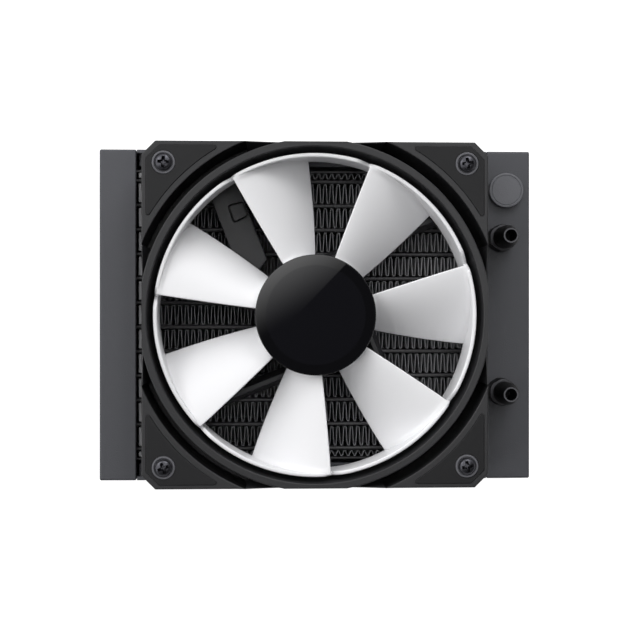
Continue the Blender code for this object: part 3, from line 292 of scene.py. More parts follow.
def add_piece(name, mesh, finish, nodes, body=BODY, sharp=32.0):
    """Links a finished mesh, which rides on its body in place of the named solids."""
    mesh.shade_smooth()
    mesh.set_sharp_from_angle(angle=math.radians(sharp))
    mesh.materials.clear()
    mesh.materials.append(material(finish))
    piece = bpy.data.objects.new(name, mesh)
    bpy.context.scene.collection.objects.link(piece)
    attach(piece, body)
    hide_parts(*nodes)


def polygon_values(mesh, name):
    """A vector of each polygon, such as its normal or center, as an array (polygon, 3)."""
    values = np.empty(len(mesh.polygons) * 3)
    mesh.polygons.foreach_get(name, values)
    return values.reshape(-1, 3)


def give_second(mesh, finish, chosen):
    """Gives the chosen polygons of a finished mesh a second finish."""
    mesh.materials.append(material(finish))
    mesh.polygons.foreach_set("material_index", chosen.astype(np.int32))


# Materials
def fill(tree, node, inputs):
    """Fills a node's inputs, by name or number, with values or with other nodes' outputs."""
    for key, value in dict(inputs).items():
        if isinstance(value, bpy.types.NodeSocket):
            tree.links.new(value, node.inputs[key])
        else:
            node.inputs[key].default_value = value


def add_node(tree, kind, inputs=(), out=0, **settings):
    """Adds a node, sets its properties, fills its inputs and gives one of its outputs."""
    node = tree.nodes.new(f"ShaderNode{kind}")
    for key, value in settings.items():
        setattr(node, key, value)
    fill(tree, node, inputs)
    return node.outputs[out] if node.outputs else None


def add_math(tree, operation, *inputs):
    return add_node(tree, "Math", enumerate(inputs), operation=operation)


# Each finish: colour's name in the panel, metallic, IOR, roughness, its spread, grain in mm, depth of the
# grain in mm, size of the mottle in mm, strength of the mottle, and the grain's stretch along X, Y and Z
FINISHES = {
    # Powder coat on aluminium: dull satin with a fine sandy grain, drawn at 0.45 mm so that it shows
    "powder_coated_aluminium": ("body", 0.0, 1.5, 0.5, 0.06, 0.45, 0.07, 14.0, 0.05, (1, 1, 1)),
    # The same powder coat on the turned cap: a shade lighter, with the same sandy grain
    "powder_coated_cap": ("cap", 0.0, 1.5, 0.5, 0.06, 0.45, 0.075, 14.0, 0.05, (1, 1, 1)),
    # Thin dip paint on brazed tubes: semi-matt, uneven where the paint ran
    "dip_painted_aluminium": ("core", 0.0, 1.5, 0.42, 0.1, 1.2, 0.02, 5.0, 0.18, (1, 1, 1)),
    # Level and sloping faces of the folded foil away from its ends: the fins' own paint, patchy
    "painted_foil_edge": ("fin_edges", 0.0, 1.5, 0.4, 0.1, 1.2, 0.02, 3.0, 0.25, (1, 1, 1)),
    # Upright sides of the foil and all faces near the strips' ends: a paler finish that is painted light,
    # standing in for light that hardly reaches deep between the folds and under the fan frame
    "pale_foil_painted_light": ("fins", 0.0, 1.5, 0.5, 0.1, 1.2, 0.02, 3.0, 0.15, (1, 1, 1)),
    # Glass-filled nylon from an etched mould: soft satin, very fine grain
    "moulded_glass_filled_nylon": ("frame", 0.0, 1.45, 0.42, 0.05, 0.35, 0.015, 18.0, 0.04, (1, 1, 1)),
    # Moulded rubber: dull, with hardly any highlight
    "moulded_rubber": ("pad", 0.0, 1.4, 0.55, 0.05, 0.4, 0.02, 9.0, 0.05, (1, 1, 1)),
    # Polished-mould white polyester: smooth satin that shows its curvature
    "moulded_white_polyester": ("impeller", 0.0, 1.5, 0.38, 0.03, 1.5, 0.004, 20.0, 0.01, (1, 1, 1)),
    # Polished black polycarbonate: mirror-like, so it shows the soft box's edge
    "polished_black_polycarbonate": ("hub_cap", 0.0, 1.58, 0.01, 0.002, 3.0, 0.0001, 20.0, 0.03, (1, 1, 1)),
    # The cap's face, printed from behind: as smooth, and a shade lighter
    "backed_black_polycarbonate": ("cap_face", 0.0, 1.5, 0.01, 0.005, 3.0, 0.0001, 20.0, 0.03, (1, 1, 1)),
    # Black acetal, turned: satin with faint rings from the tool
    "turned_black_acetal": ("fitting", 0.0, 1.3, 0.5, 0.06, 0.35, 0.01, 6.0, 0.08, (0.1, 0.1, 1)),
    # Upward faces of the acetal outside the bore, the collar's top and the tip's end: paler, a painted
    # highlight where they face the light
    "acetal_painted_highlight": ("fitting_highlight", 0.0, 1.4, 0.5, 0.06, 0.35, 0.02, 6.0, 0.08, (1, 1, 1)),
    # Black zinc plate on pressed steel: dark metal with a broken gloss
    "black_zinc_steel": ("fastener", 1.0, 1.5, 0.36, 0.04, 0.5, 0.01, 6.0, 0.1, (1, 1, 1)),
    # Phosphated steel: an even dull grey, without a highlight
    "phosphated_steel": ("washer", 0.0, 1.5, 0.55, 0.05, 0.4, 0.01, 6.0, 0.05, (1, 1, 1)),
    # Ground and laminated steel: bright, in layers 0.5 mm thick
    "laminated_steel": ("steel", 1.0, 1.5, 0.35, 0.08, 0.5, 0.02, 4.0, 0.15, (0.02, 0.02, 1)),
    # Bonded ferrite: dull black, slightly gritty
    "bonded_ferrite": ("magnet", 0.0, 1.5, 0.7, 0.05, 0.5, 0.03, 5.0, 0.1, (1, 1, 1)),
    # Sintered bronze: open grain, half dull
    "sintered_bronze": ("bronze", 1.0, 1.5, 0.5, 0.1, 0.3, 0.03, 3.0, 0.2, (1, 1, 1)),
    # Enamelled copper wire, wound: fine ridges 0.3 mm apart
    "wound_copper_wire": ("copper", 1.0, 1.5, 0.3, 0.05, 0.3, 0.08, 5.0, 0.15, (0.02, 0.02, 1)),
    # Green solder mask over copper tracks: glossy and slightly uneven
    "solder_masked_board": ("board", 0.0, 1.5, 0.35, 0.05, 1.5, 0.02, 3.0, 0.25, (1, 1, 1)),
}


def material(name):
    """Builds a finish once: a noise mottles its colour and roughness, and a finer one lifts its grain."""
    if name in bpy.data.materials:
        return bpy.data.materials[name]
    slot, metallic, ior, roughness, spread, grain, depth, mottle, strength, stretch = FINISHES[name]
    base = np.array(getattr(bpy.context.scene.cooler_colours, slot))
    dark, light = [(*np.clip(base * share, 0.0, 1.0), 1.0) for share in (1 - strength, 1 + strength)]
    made = bpy.data.materials.new(name)
    made.use_nodes = True
    tree = made.node_tree
    place = add_node(tree, "TexCoord", out="Object")
    broad = add_node(tree, "TexNoise", {"Scale": 1 / (mottle * MM), "Detail": 3.0, "Vector": place})
    tint = add_node(tree, "Mix", {0: broad, 6: dark, 7: light}, 2, data_type="RGBA")
    ends = {"To Min": roughness - spread, "To Max": roughness + spread}
    dull = add_node(tree, "MapRange", {**ends, "Value": broad})
    scaled = add_node(tree, "Mapping", {"Scale": stretch, "Vector": place})
    fine = add_node(tree, "TexNoise", {"Scale": 1 / (grain * MM), "Detail": 2.0, "Vector": scaled})
    bump = add_node(tree, "Bump", {"Strength": 1.0, "Distance": depth * MM, "Height": fine})
    given = {"Metallic": metallic, "IOR": ior, "Base Color": tint, "Roughness": dull, "Normal": bump}
    fill(tree, tree.nodes["Principled BSDF"], given)
    return made


class CoolerColours(bpy.types.PropertyGroup):
    body: colour("Radiator paint", 0x46474C, "Powder coat on the tanks and channels")
    cap: colour("Filler cap", 0x66676C, "Powder coat on the filler cap")
    core: colour("Core paint", 0x3C3C3E, "Dip paint on the tubes and plates")
    # The fins' pale colour is painted light on their upright sides and ends; the fin edges' colour is the
    # fins' own paint
    fins: colour("Fins", 0xB8B8BA, "Dull metal of the fins' deep sides")
    fin_edges: colour("Fin edges", 0xA0A0A4, "Paint on the fins' edges")
    frame: colour("Fan frame", 0x252527, "Plastic of the frame, struts and motor base")
    pad: colour("Corner pads", 0x131315, "Rubber of the corner pads")
    impeller: colour("Impeller", 0xEEEEF0, "White plastic of the blades, ring and hub")
    hub_cap: colour("Hub cap", 0x07070A, "Polished plastic of the hub cover's rim")
    cap_face: colour("Hub cap's face", 0x0F0F13, "Polished plastic of the hub cover's face")
    fitting: colour("Hose fittings", 0x040405, "Plastic of the two hose barbs")
    # The fittings' upward faces are paler: a painted highlight
    fitting_highlight: colour("Fitting faces", 0x4C4C50, "Faced ends of the two hose barbs")
    fastener: colour("Screws", 0x505055, "Plate on the screws")
    washer: colour("Washers", 0x5C5C61, "Phosphate coat on the cup washers")
    steel: colour("Motor steel", 0xC4C4C6, "Laminations, shaft, yoke and clip")
    magnet: colour("Magnet", 0x2A2A2C, "Bonded ferrite of the rotor's magnet")
    bronze: colour("Bearing", 0xB08A54, "Sintered bronze of the bearing sleeve")
    copper: colour("Winding", 0xB8683A, "Enamelled wire of the coils")
    board: colour("Circuit board", 0x1F5A34, "Solder mask of the motor's board")


class RadiatorSizes(bpy.types.PropertyGroup):
    tank_wall: size("Tank wall", 1.5, "Thickness of the tanks' walls")
    tank_corner: size("Tank corner", 0.7, "Radius of the tanks' long edges")
    tank_edge: size("Tank end edge", 0.7, "Radius of the edges round the tanks' ends")
    channel_wall: size("Channel wall", 1.4, "Thickness of the side channels' upright walls")
    sheet: size("Channel sheet", 1.0, "Thickness of the side channels' flanges")
    tab_reach: size("Tab reach", 5.7, "How far the tabs beyond a flange's ends reach in")
    tab_margin: size("Tab margin", 0.85, "Distance from a tank's mouth to the nearest tab")
    flange: size("Channel flange", 6.0, "Width of the side channels' flanges")
    ear_reach: size("Ear reach", 12.0, "Width of the side channels at the screw ears")
    ear_width: size("Ear width", 15.0, "Length of a screw ear along the channel")
    screw_inset: size("Screw inset", 7.5, "Distance from the fan's side to its screws")
    screw_hole: size("Screw hole radius", 1.8, "Radius of the holes in the ears")
    tube_wall: size("Tube wall", 0.25, "Thickness of the flat tubes' walls")
    fold: size("Fold distance", 1.2, "Distance from one leg of a fin strip to the next")
    fin_sheet: size("Fin sheet", 0.14, "Thickness of the fin strips' sheet")
    end_tab: size("End tab", 4.5, "Length of the flat tab at the ends of each fin strip")
    tab_start: size("End tab margin", 0.25, "Distance from a fin strip's end to its flat tab")
    fin_spread: size("Fold spread", 0.09, "How far the legs stray from even spacing")
    fold_share: ratio("Fold share", 0.7, "Width of a fold over the legs' distance", 0.1, 1.0)


class FittingSizes(bpy.types.PropertyGroup):
    hexagon: size("Collar flats", 4.8, "Distance from the collar's middle to its flats")
    collar: size("Collar radius", 4.95, "Radius of the turned edge of the collar")
    collar_height: size("Collar height", 6.0, "Height of the collar above the tank")
    neck: size("Neck height", 1.5, "Plain length above the collar")
    barb: size("Barb radius", 4.0, "Radius of the barbs")
    valley: size("Valley radius", 3.3, "Radius between the barbs")
    pitch: size("Barb distance", 3.5, "Distance from barb to barb")
    lip: size("Barb lip", 0.4, "Height of the undercut under each barb")
    tip: size("Tip radius", 2.65, "Radius of the fitting's tip")
    bore: size("Bore radius", 2.05, "Radius of the fitting's bore")
    cap_face: size("Cap face radius", 5.2, "Radius of the filler cap's face, inside its groove")
    cap_groove: size("Cap groove", 0.18, "Depth of the groove round the filler cap's face")
    barbs: count("Barbs", 3, "Number of barbs on each fitting")


class FrameSizes(bpy.types.PropertyGroup):
    chamfer: size("Corner chamfer", 4.7, "How far the frame's corners are cut back")
    bore: size("Bore radius", 57.0, "Radius of the duct round the impeller")
    mouth: size("Mouth radius", 58.4, "Radius of the duct's opening")
    mouth_depth: size("Mouth depth", 16.0, "Depth of the duct's tapered opening")
    duct: size("Duct radius", 61.0, "Outer radius of the duct")
    groove: size("Groove radius", 64.7, "Outer radius of the groove round the duct")
    flange: size("Rear flange", 3.5, "Thickness of the frame below the groove")
    web_drop: size("Web drop", 3.0, "How far the tops of the grooves' end webs fall towards the duct")
    web_slope: ratio("Web slope", 4.0, "Steepness of the webs' inner sides", 0.5, 20.0)
    edge: size("Edge radius", 0.35, "Radius of the frame's moulded edges")
    pad_inset: size("Pad inset", 1.45, "Distance from the frame's side to its pads")
    pad_chamfer: size("Pad chamfer", 4.6, "How far a pad's outer corner is cut back")
    pad_inner: size("Pad inner radius", 66.8, "Radius of a pad's hollow side")
    pad_tip: size("Pad tip radius", 0.8, "Radius of a pad's tips")
    pad_seat: size("Pad seat", 1.2, "Depth of the pads' seats")
    seat_gap: size("Seat gap", 0.08, "Gap between a pad and its seat")
    screw_hole: size("Screw hole radius", 2.2, "Radius of the frame's screw holes")
    strut_offset: size("Strut offset", 16.36, "Distance from the fan's axis to a strut's middle line")
    strut_height: size("Strut height", 6.0, "Height of the struts")
    strut_crest: size("Strut crest", 1.9, "Width of a strut's top")
    strut_foot: size("Strut foot", 5.4, "Width of a strut's foot")
    cover_inner: size("Cable cover inner side", 8.1, "Distance from the axis to the cover's near side")
    cover_outer: size("Cable cover outer side", 19.1, "Distance from the axis to the cover's far side")
    cover_end: size("Cable cover end", 26.0, "Distance from the axis to the cover's inner end")
    cover_height: size("Cable cover height", 6.2, "Height of the cable cover")
    tab_gap: size("Tab gap", 0.85, "Width of the gap round the cover's tab")
    base: size("Motor base radius", 20.8, "Radius of the motor base")
    base_rim: size("Motor base rim", 6.7, "Height of the motor base's rim")


class FastenerSizes(bpy.types.PropertyGroup):
    washer: size("Washer radius", 4.05, "Radius of the cup washers")
    washer_rim: size("Washer rim", 0.75, "Width of the washers' raised rim")
    head: size("Head radius", 2.85, "Radius of the screw heads")
    shank: size("Shank radius", 1.5, "Radius of the screws' shanks")
    crown: size("Head crown", 0.8, "How much higher a head's middle is than its edge")
    cross_width: size("Recess width", 1.0, "Width of the cross recess's arms")
    cross_length: size("Recess length", 3.9, "Length of the cross recess")
    cross_depth: size("Recess depth", 2.0, "Depth of the cross recess")


class ImpellerSizes(bpy.types.PropertyGroup):
    ring: size("Ring radius", 56.25, "Outer radius of the ring")
    ring_wall: size("Ring wall", 1.4, "Thickness of the ring")
    notch: size("Notch depth", 3.1, "How far the ring's edge dips at each leading edge")
    ring_edge: size("Ring edge", 0.5, "Rounding of the ring's edges")
    blade: size("Blade thickness", 1.3, "Greatest thickness of a blade")
    tip_depth: size("Depth at the tip", 14.6, "How far a blade falls along its tip")
    root_depth: size("Depth at the root", 10.6, "How far a blade falls along its root")
    fillet: size("Fillet", 0.9, "Size of the fillet where a blade meets the ring and hub")
    hub: size("Hub radius", 20.5, "Radius of the hub cup")
    hub_wall: size("Hub wall", 1.5, "Thickness of the hub cup")
    hub_depth: size("Hub depth", 12.5, "Depth of the hub cup")
    cap_face: size("Cap face radius", 17.3, "Radius of the hub cap's flat face")
    cap_slope: size("Cap slope", 0.004, "How far the hub cap's rim falls")
    blades: count("Blades", 7, "Number of blades")


# Radiator
def box_section(x, low, high, inset, radius):
    """A box's section at x less an inset, with rounded corners."""
    wide, tall = (high - low)[1:] / 2 - inset
    outline = rounded([(wide, tall), (-wide, tall), (-wide, -tall), (wide, -tall)], radius, steps=6)
    return np.column_stack([np.full(len(outline), x), outline + (low + high)[1:] / 2])


def tank_shell(low, high, outward, sizes):
    """A box-shaped tank: rounded rectangles across X, from the floor of its hollow out to the mouth, over
    the rim, and back along the outside to an end whose edges are rounded by a quarter circle."""
    end, mouth = (high[0], low[0]) if outward > 0 else (low[0], high[0])
    wall, corner, edge = sizes.tank_wall, sizes.tank_corner, sizes.tank_edge
    rim, least = 0.2 * wall, 0.25 * MM
    rows = [(end - outward * wall, wall), (mouth + outward * rim, wall), (mouth, wall - rim)]
    rows += [(mouth, rim), (mouth + outward * rim, 0.0), (end - outward * edge * HOLD, 0.0)]
    turn = np.linspace(0.0, QUARTER, 7)
    rows += [(end - outward * edge * (1 - math.sin(a)), edge * (1 - math.cos(a))) for a in turn]
    rows.append((end, edge * HOLD))
    return sleeve([box_section(x, low, high, inset, max(corner - inset, least)) for x, inset in rows])


def slab(x, y, z, edge):
    """A plate between two corners, given as spans, whose upper and lower edges are rounded."""
    corners = [(x[0], y[0]), (x[1], y[0]), (x[1], y[1]), (x[0], y[1])]
    return lofted(rounded(corners, edge), slab_profile(z[0], z[1], edge, edge))


def channel_shells(low, high, sign, holes, sizes):
    """A folded channel: an upright wall, two flanges with holes in their screw ears, and tabs beyond them.

    The wall is one rounded section from end to end. A flange's free edge runs at the flange's width plus
    a smooth step up and down again at each ear.
    """
    top, outer, sheet = high[2], FAN_HALF, sizes.sheet
    inner = outer - sizes.channel_wall
    fold, soft, sink, bend = 1.1 * MM, 1.2 * MM, 0.3 * MM, 0.2 * MM
    section = rounded([(outer, top), (inner, top), (inner, 0.0), (outer, 0.0)], [fold, sink, sink, fold])
    y, z = section.T
    made = [sleeve([np.column_stack([np.full(len(y), x), sign * y, z]) for x in (low[0], high[0])])]
    ways, half_ear = np.array([-1, 1]), sizes.ear_width / 2
    screws = FAN_X + ways * (FAN_HALF - sizes.screw_inset)
    ends = screws + ways * half_ear
    steps = np.linspace(-soft, soft, 9)
    x = np.concatenate([ends[:1], screws[0] + half_ear + steps, screws[1] - half_ear + steps, ends[1:]])
    near = np.clip((half_ear - np.abs(x[:, None] - screws)) / soft / 2 + 0.5, 0.0, 1.0)
    ear = (near * near * (3 - 2 * near)).max(1)
    ear[[0, -1]] = 1.0
    edge = np.column_stack([x, sign * (outer - sizes.flange - (sizes.ear_reach - sizes.flange) * ear)])
    outline = np.concatenate([edge, [(ends[1], sign * (inner + sink)), (ends[0], sign * (inner + sink))]])
    for floor in (0.0, top - sheet):
        flange = lofted(outline, slab_profile(floor, floor + sheet, bend, bend))
        made.append(shell_of(cut_from(mesh_of("flange", [flange]), holes)))
    core_low, core_high = solid("core_side_plate_top")
    first, last = solid("left_tank")[1][0] + sizes.tab_margin, solid("right_tank")[0][0] - sizes.tab_margin
    y = sorted((sign * (outer - sizes.tab_reach), sign * (inner + sink)))
    for span in ((first, ends[0]), (ends[1], last)):
        for floor in (core_low[2], core_high[2] - sheet):
            made.append(slab(span, y, (floor, floor + sheet), bend))
    return made


def tube_shell(low, high, wall):
    """A flat tube with round noses: the same rounded section inside and out, from end to end."""
    rows = []
    for x, inset in ((low[0], wall), (high[0], wall), (high[0], 0.0), (low[0], 0.0)):
        nose = 0.98 * ((high[1] - low[1]) / 2 - inset)
        rows.append(box_section(x, low, high, inset, nose))
    return sleeve(rows, closed=True)


def fin_shell(low, high, sizes, seed):
    """A sheet folded to and fro between two tubes: leaning straight legs joined by half circles.

    The middle line of the sheet is, for each fold, a half circle about the middle between two legs,
    at the top and the bottom in turn; as it is narrower than the legs' distance, the legs lean.
    Half the sheet's thickness goes to either side of it.
    """
    sheet = sizes.fin_sheet
    folds = int((high[0] - low[0]) / sizes.fold) - 1
    pitch = (high[0] - low[0] - sheet) / (folds + 1)
    spread = np.random.default_rng(seed).uniform(-1, 1, folds + 2) * sizes.fin_spread
    spread[[0, -1]] = 0.0
    legs = low[0] + sheet / 2 + pitch * np.arange(folds + 2) + spread
    radius = np.diff(legs)[:, None] / 2
    side = np.where(np.arange(folds + 1) % 2, -1.0, 1.0)[:, None]
    angle = np.linspace(0.0, math.pi, 8)
    reach = (high[1] - low[1] - sheet) / 2
    bend = radius * sizes.fold_share
    x = (legs[:-1, None] + radius) - bend * np.cos(angle)
    y = (low[1] + high[1]) / 2 + side * (reach - bend + bend * np.sin(angle))
    line = np.stack([x.ravel(), y.ravel()], axis=1)
    step = np.gradient(line, axis=0)
    normal = np.stack([-step[:, 1], step[:, 0]], axis=1) / np.linalg.norm(step, axis=1)[:, None]
    offset = normal * sheet / 2
    corners = ((1, low[2]), (1, high[2]), (-1, high[2]), (-1, low[2]))
    return sleeve(np.stack([at_height(line + sign * offset, z) for sign, z in corners], axis=1))


# Gap between the tank and the fittings and cap on it, and depth of the fittings' bores
SEAT = 0.05 * MM
BORE_DEPTH = 12.0 * MM


def fitting_shell(low, high, sizes):
    """A hose fitting: hexagonal collar, neck, saw-edged barbs, tapered tip and bore, carried round its axis.

    Up to the collar's top the radius is the lesser of the profile's and the way to the hexagon's side.
    """
    x, y = (low[:2] + high[:2]) / 2
    foot = TANK_TOP + SEAT
    top, tip = foot + sizes.collar_height, high[2]
    valley, barb, first = sizes.valley, sizes.barb, top + sizes.neck
    corners = [(0.0, foot), (sizes.collar, foot), (sizes.collar, top), (valley, top)]
    radii = [0.0, 0.2, 0.35, 0.15]
    for lip in first + sizes.pitch * np.arange(sizes.barbs):
        corners += [(valley, lip), (barb, lip + sizes.lip)]
        radii += [0.1, 0.12]
    floor = tip - BORE_DEPTH
    corners += [(valley, first + sizes.pitch * sizes.barbs), (sizes.tip, tip), (sizes.bore, tip)]
    corners += [(sizes.bore, floor), (0.0, floor)]
    radii += [0.2, 0.1, 0.1, 0.1, 0.0]
    angle = ring_of(144)
    section = np.tile(rounded(corners, np.array(radii) * MM), (len(angle), 1, 1))
    radius, height = section[..., 0], section[..., 1]
    flat = (angle[:, None] + math.pi / 6) % (math.pi / 3) - math.pi / 6
    slope, depth, hair = 0.3, 0.9 * MM, 0.01 * MM
    bevel = slope * np.maximum(0.0, height - top + depth)
    side = np.minimum(radius, sizes.hexagon / np.cos(flat) - bevel)
    collar = (height < top + hair) & (radius > valley + 0.3 * MM)
    section[..., 0] = np.where(collar, side, radius)
    return carried(section, angle, x, y, closed=False)


def cap_shell(low, high, sizes):
    """The filler cap: a low disc with rounded edges and a fine groove round its face."""
    x, y = (low[:2] + high[:2]) / 2
    radius, foot, top = (high[0] - low[0]) / 2, TANK_TOP + SEAT, high[2]
    face, step = sizes.cap_face, sizes.cap_groove
    corners = [(0, top), (face, top), (face + step, top - step), (face + 2 * step, top)]
    corners += [(radius, top), (radius, foot), (0, foot)]
    return turned(corners, [0, 0.05, 0.05, 0.05, 0.5, 0.1, 0], x, y)


# Fan frame
def frame_shell(sizes):
    """The frame as one section carried round the fan's axis.

    At each angle the section runs from the bore out over the duct, down into the groove, up the corner
    block and out to the frame's side. The side's distance is the least of those to the square's four
    sides and its four chamfers, and it cuts off what would lie outside it. Where it falls in the
    groove's width, the groove slopes up to a web at the side, whose top falls towards the duct.
    """
    corner, step = FAN_HALF - sizes.chamfer, 1e-4
    keys = [math.acos(FAN_HALF / r) for r in (sizes.duct, sizes.groove)] + [math.atan2(corner, FAN_HALF)]
    even = np.linspace(0.0, QUARTER / 2, 61)[:-1]
    half = np.concatenate([even, *[(key - step, key + step) for key in keys]])
    quarter = np.unique(np.concatenate([half, QUARTER - half[1:], [QUARTER / 2]]))
    angle = (np.arange(4)[:, None] * QUARTER + quarter[quarter < QUARTER - 1e-9]).ravel()
    across, up = np.abs(np.cos(angle)), np.abs(np.sin(angle))
    side = np.minimum(FAN_HALF / np.maximum(across, up), (FAN_HALF + corner) / (across + up))
    duct = np.minimum(sizes.duct, side)
    web_top = FAN_FRONT - sizes.web_drop * (sizes.groove - side) / (sizes.groove - sizes.duct)
    web_foot = web_top - sizes.web_slope * (side - duct)
    block, web = side > sizes.groove, (side > sizes.duct) & (side <= sizes.groove)
    floor = FAN_REAR + sizes.flange
    groove = np.select([block, web], [sizes.groove, np.maximum(side - sizes.edge, duct)], side)
    duct_foot = np.select([block, web], [floor, web_foot], FAN_FRONT)
    groove_foot = np.select([block, web], [floor, web_top], FAN_FRONT)
    top = np.where(web, web_top, FAN_FRONT)
    radius = [sizes.bore, sizes.bore, sizes.mouth, duct, duct, groove, groove, side, side]
    height = [FAN_REAR, FAN_FRONT - sizes.mouth_depth, FAN_FRONT, FAN_FRONT]
    height += [duct_foot, groove_foot, top, top, FAN_REAR]
    corners = [np.stack(np.broadcast_arrays(*one, angle)[:-1], axis=1) for one in (radius, height)]
    edge = sizes.edge
    bend, foot = 2.0 * MM, 0.6 * MM
    radii = [edge, bend, edge, edge, foot, foot, edge, edge * HOLD, edge]
    return carried(rounded(np.stack(corners, axis=-1), radii), angle)


def pad_outline(sizes, grow):
    """A pad's outline in the +X +Y corner, about the fan's axis: straight outer sides with a chamfer between
    them, round tips that touch them, and a hollow side on a circle about the axis."""
    edge = FAN_HALF - sizes.pad_inset + grow
    tip, inner = sizes.pad_tip + grow, sizes.pad_inner - grow
    chamfer = sizes.pad_chamfer + grow * (2 - math.sqrt(2))
    tip_y = edge - tip
    tip_x = math.sqrt((inner + tip) ** 2 - tip_y**2)
    turn = math.atan2(tip_y, tip_x)
    a, b = np.linspace(QUARTER, math.pi + turn, 14), np.linspace(turn, QUARTER / 2, 16)[1:]
    nose = np.stack([tip_x + tip * np.cos(a), tip_y + tip * np.sin(a)], axis=1)
    half = np.concatenate([[(edge - chamfer, edge)], nose, inner * np.stack([np.cos(b), np.sin(b)], axis=1)])
    return np.concatenate([half, half[-2::-1, ::-1]])


def corner_places(sizes):
    """Name, quarter turn and screw position of each corner of the fan."""
    reach = FAN_HALF - sizes.screw_inset
    signs = ((1, 1), (-1, 1), (-1, -1), (1, -1))
    places = enumerate(zip(CORNERS, signs))
    return [(name, i * QUARTER, FAN_X + a * reach, b * reach) for i, (name, (a, b)) in places]


def upright_rod(x, y, radius, low, high, columns=48):
    return revolved([(0.0, low), (radius, low), (radius, high), (0.0, high)], x, y, columns)


# Turn of the first strut about the fan's axis, and the number of the strut that lies under the cable cover
STRUT_TURN = math.radians(-158.6)
COVER_INDEX = 1
# How far the struts and the cover run into the duct's wall, and the struts into the motor base's rim
INTO_DUCT = 0.8 * MM
INTO_BASE = 0.7 * MM


def strut_shell(sizes, index):
    """A ridge with a rounded crest, carried from the motor base's rim to the duct, beside the fan's axis."""
    foot, crest, top = sizes.strut_foot / 2, sizes.strut_crest / 2, FAN_REAR + sizes.strut_height
    corners = [(-foot, FAN_REAR), (-crest, top), (crest, top), (foot, FAN_REAR)]
    aside, height = rounded(corners, np.array([0.1, 0.5, 0.5, 0.1]) * MM).T
    aside = sizes.strut_offset + aside
    reaches = np.linspace(sizes.base - INTO_BASE, sizes.bore + INTO_DUCT, 5)
    rows = [np.stack([np.sqrt(reach**2 - aside**2), aside, height], axis=1) for reach in reaches]
    return into_fan(sleeve(rows), STRUT_TURN - index * QUARTER)


# The four corners of the cable cover's tab from the fan's axis, their radii and the depth of the gap, in mm
TAB_CORNERS = ((-31.0, 39.4), (-28.7, 32.5), (-22.8, 35.3), (-25.2, 40.9))
TAB_RADII = (1.2, 1.2, 1.6, 1.2)
TAB_DEPTH = 4.0


def cover_mesh(sizes):
    """The wide cover over the fan's lead: a plate with rounded edges between two lines beside the axis,
    with a narrow gap cut down round its tab."""
    near, far = sizes.cover_inner, sizes.cover_outer
    out, end = sizes.bore + INTO_DUCT, sizes.cover_end
    places = ((end, near), (out, near), (out, far), (end, far))
    corner, edge, foot, top = 0.8 * MM, 0.45 * MM, FAN_REAR + 0.3 * MM, FAN_REAR + sizes.cover_height
    outline = rounded([(math.sqrt(reach**2 - aside**2), aside) for reach, aside in places], corner)
    plate = lofted(outline, slab_profile(foot, top, edge))
    plate = into_fan(plate, STRUT_TURN - COVER_INDEX * QUARTER)
    outer = rounded(np.array(TAB_CORNERS) * MM + (FAN_X, 0.0), np.array(TAB_RADII) * MM)
    inner = outer + inward(outer) * sizes.tab_gap
    down, up = top - TAB_DEPTH * MM, top + MM
    rows = ((outer, down), (outer, up), (inner, up), (inner, down))
    gap = sleeve([at_height(*row) for row in rows], closed=True)
    return cut_from(mesh_of("cable_cover", [plate]), [gap])


def base_shell(sizes):
    """The motor base: a dish with a rim and the bearing's tube, carried round the fan's axis."""
    plate, gap, tube_wall, rim_wall = 2.0 * MM, 0.3 * MM, 1.2 * MM, 1.5 * MM
    floor, rim, base = FAN_REAR + plate, FAN_REAR + sizes.base_rim, sizes.base
    low, high = solid("bearing_sleeve")
    bore = (high[0] - low[0]) / 2 + gap
    tube, inside, top = bore + tube_wall, base - rim_wall, high[2]
    corners = [(0.0, floor), (bore, floor), (bore, top), (tube, top), (tube, floor), (inside, floor)]
    corners += [(inside, rim), (base, rim), (base, FAN_REAR), (0.0, FAN_REAR)]
    return turned(corners, 0.3)


# Heights of a washer's floor and of the screw's head above the washer's foot, and drop of the head's edge
WASHER_FLOOR = 0.6 * MM
HEAD_SEAT = 0.62 * MM
HEAD_EDGE = 0.55 * MM


def washer_shell(sizes, x, y):
    """A cup washer: a flat ring inside a raised, rounded rim, carried round the screw's axis."""
    low, high = (corner[2] for corner in solid("washer_top_right"))
    rim, bore, floor = sizes.washer - sizes.washer_rim, sizes.shank + 0.15 * MM, low + WASHER_FLOOR
    corners = [(sizes.washer, low), (sizes.washer, high), (rim, high)]
    corners += [(rim - 0.25 * MM, floor), (bore, floor), (bore, low)]
    return turned(corners, [0.1, 0.3, 0.3, 0.2, 0.1, 0.1], x, y, columns=72, closed=True)


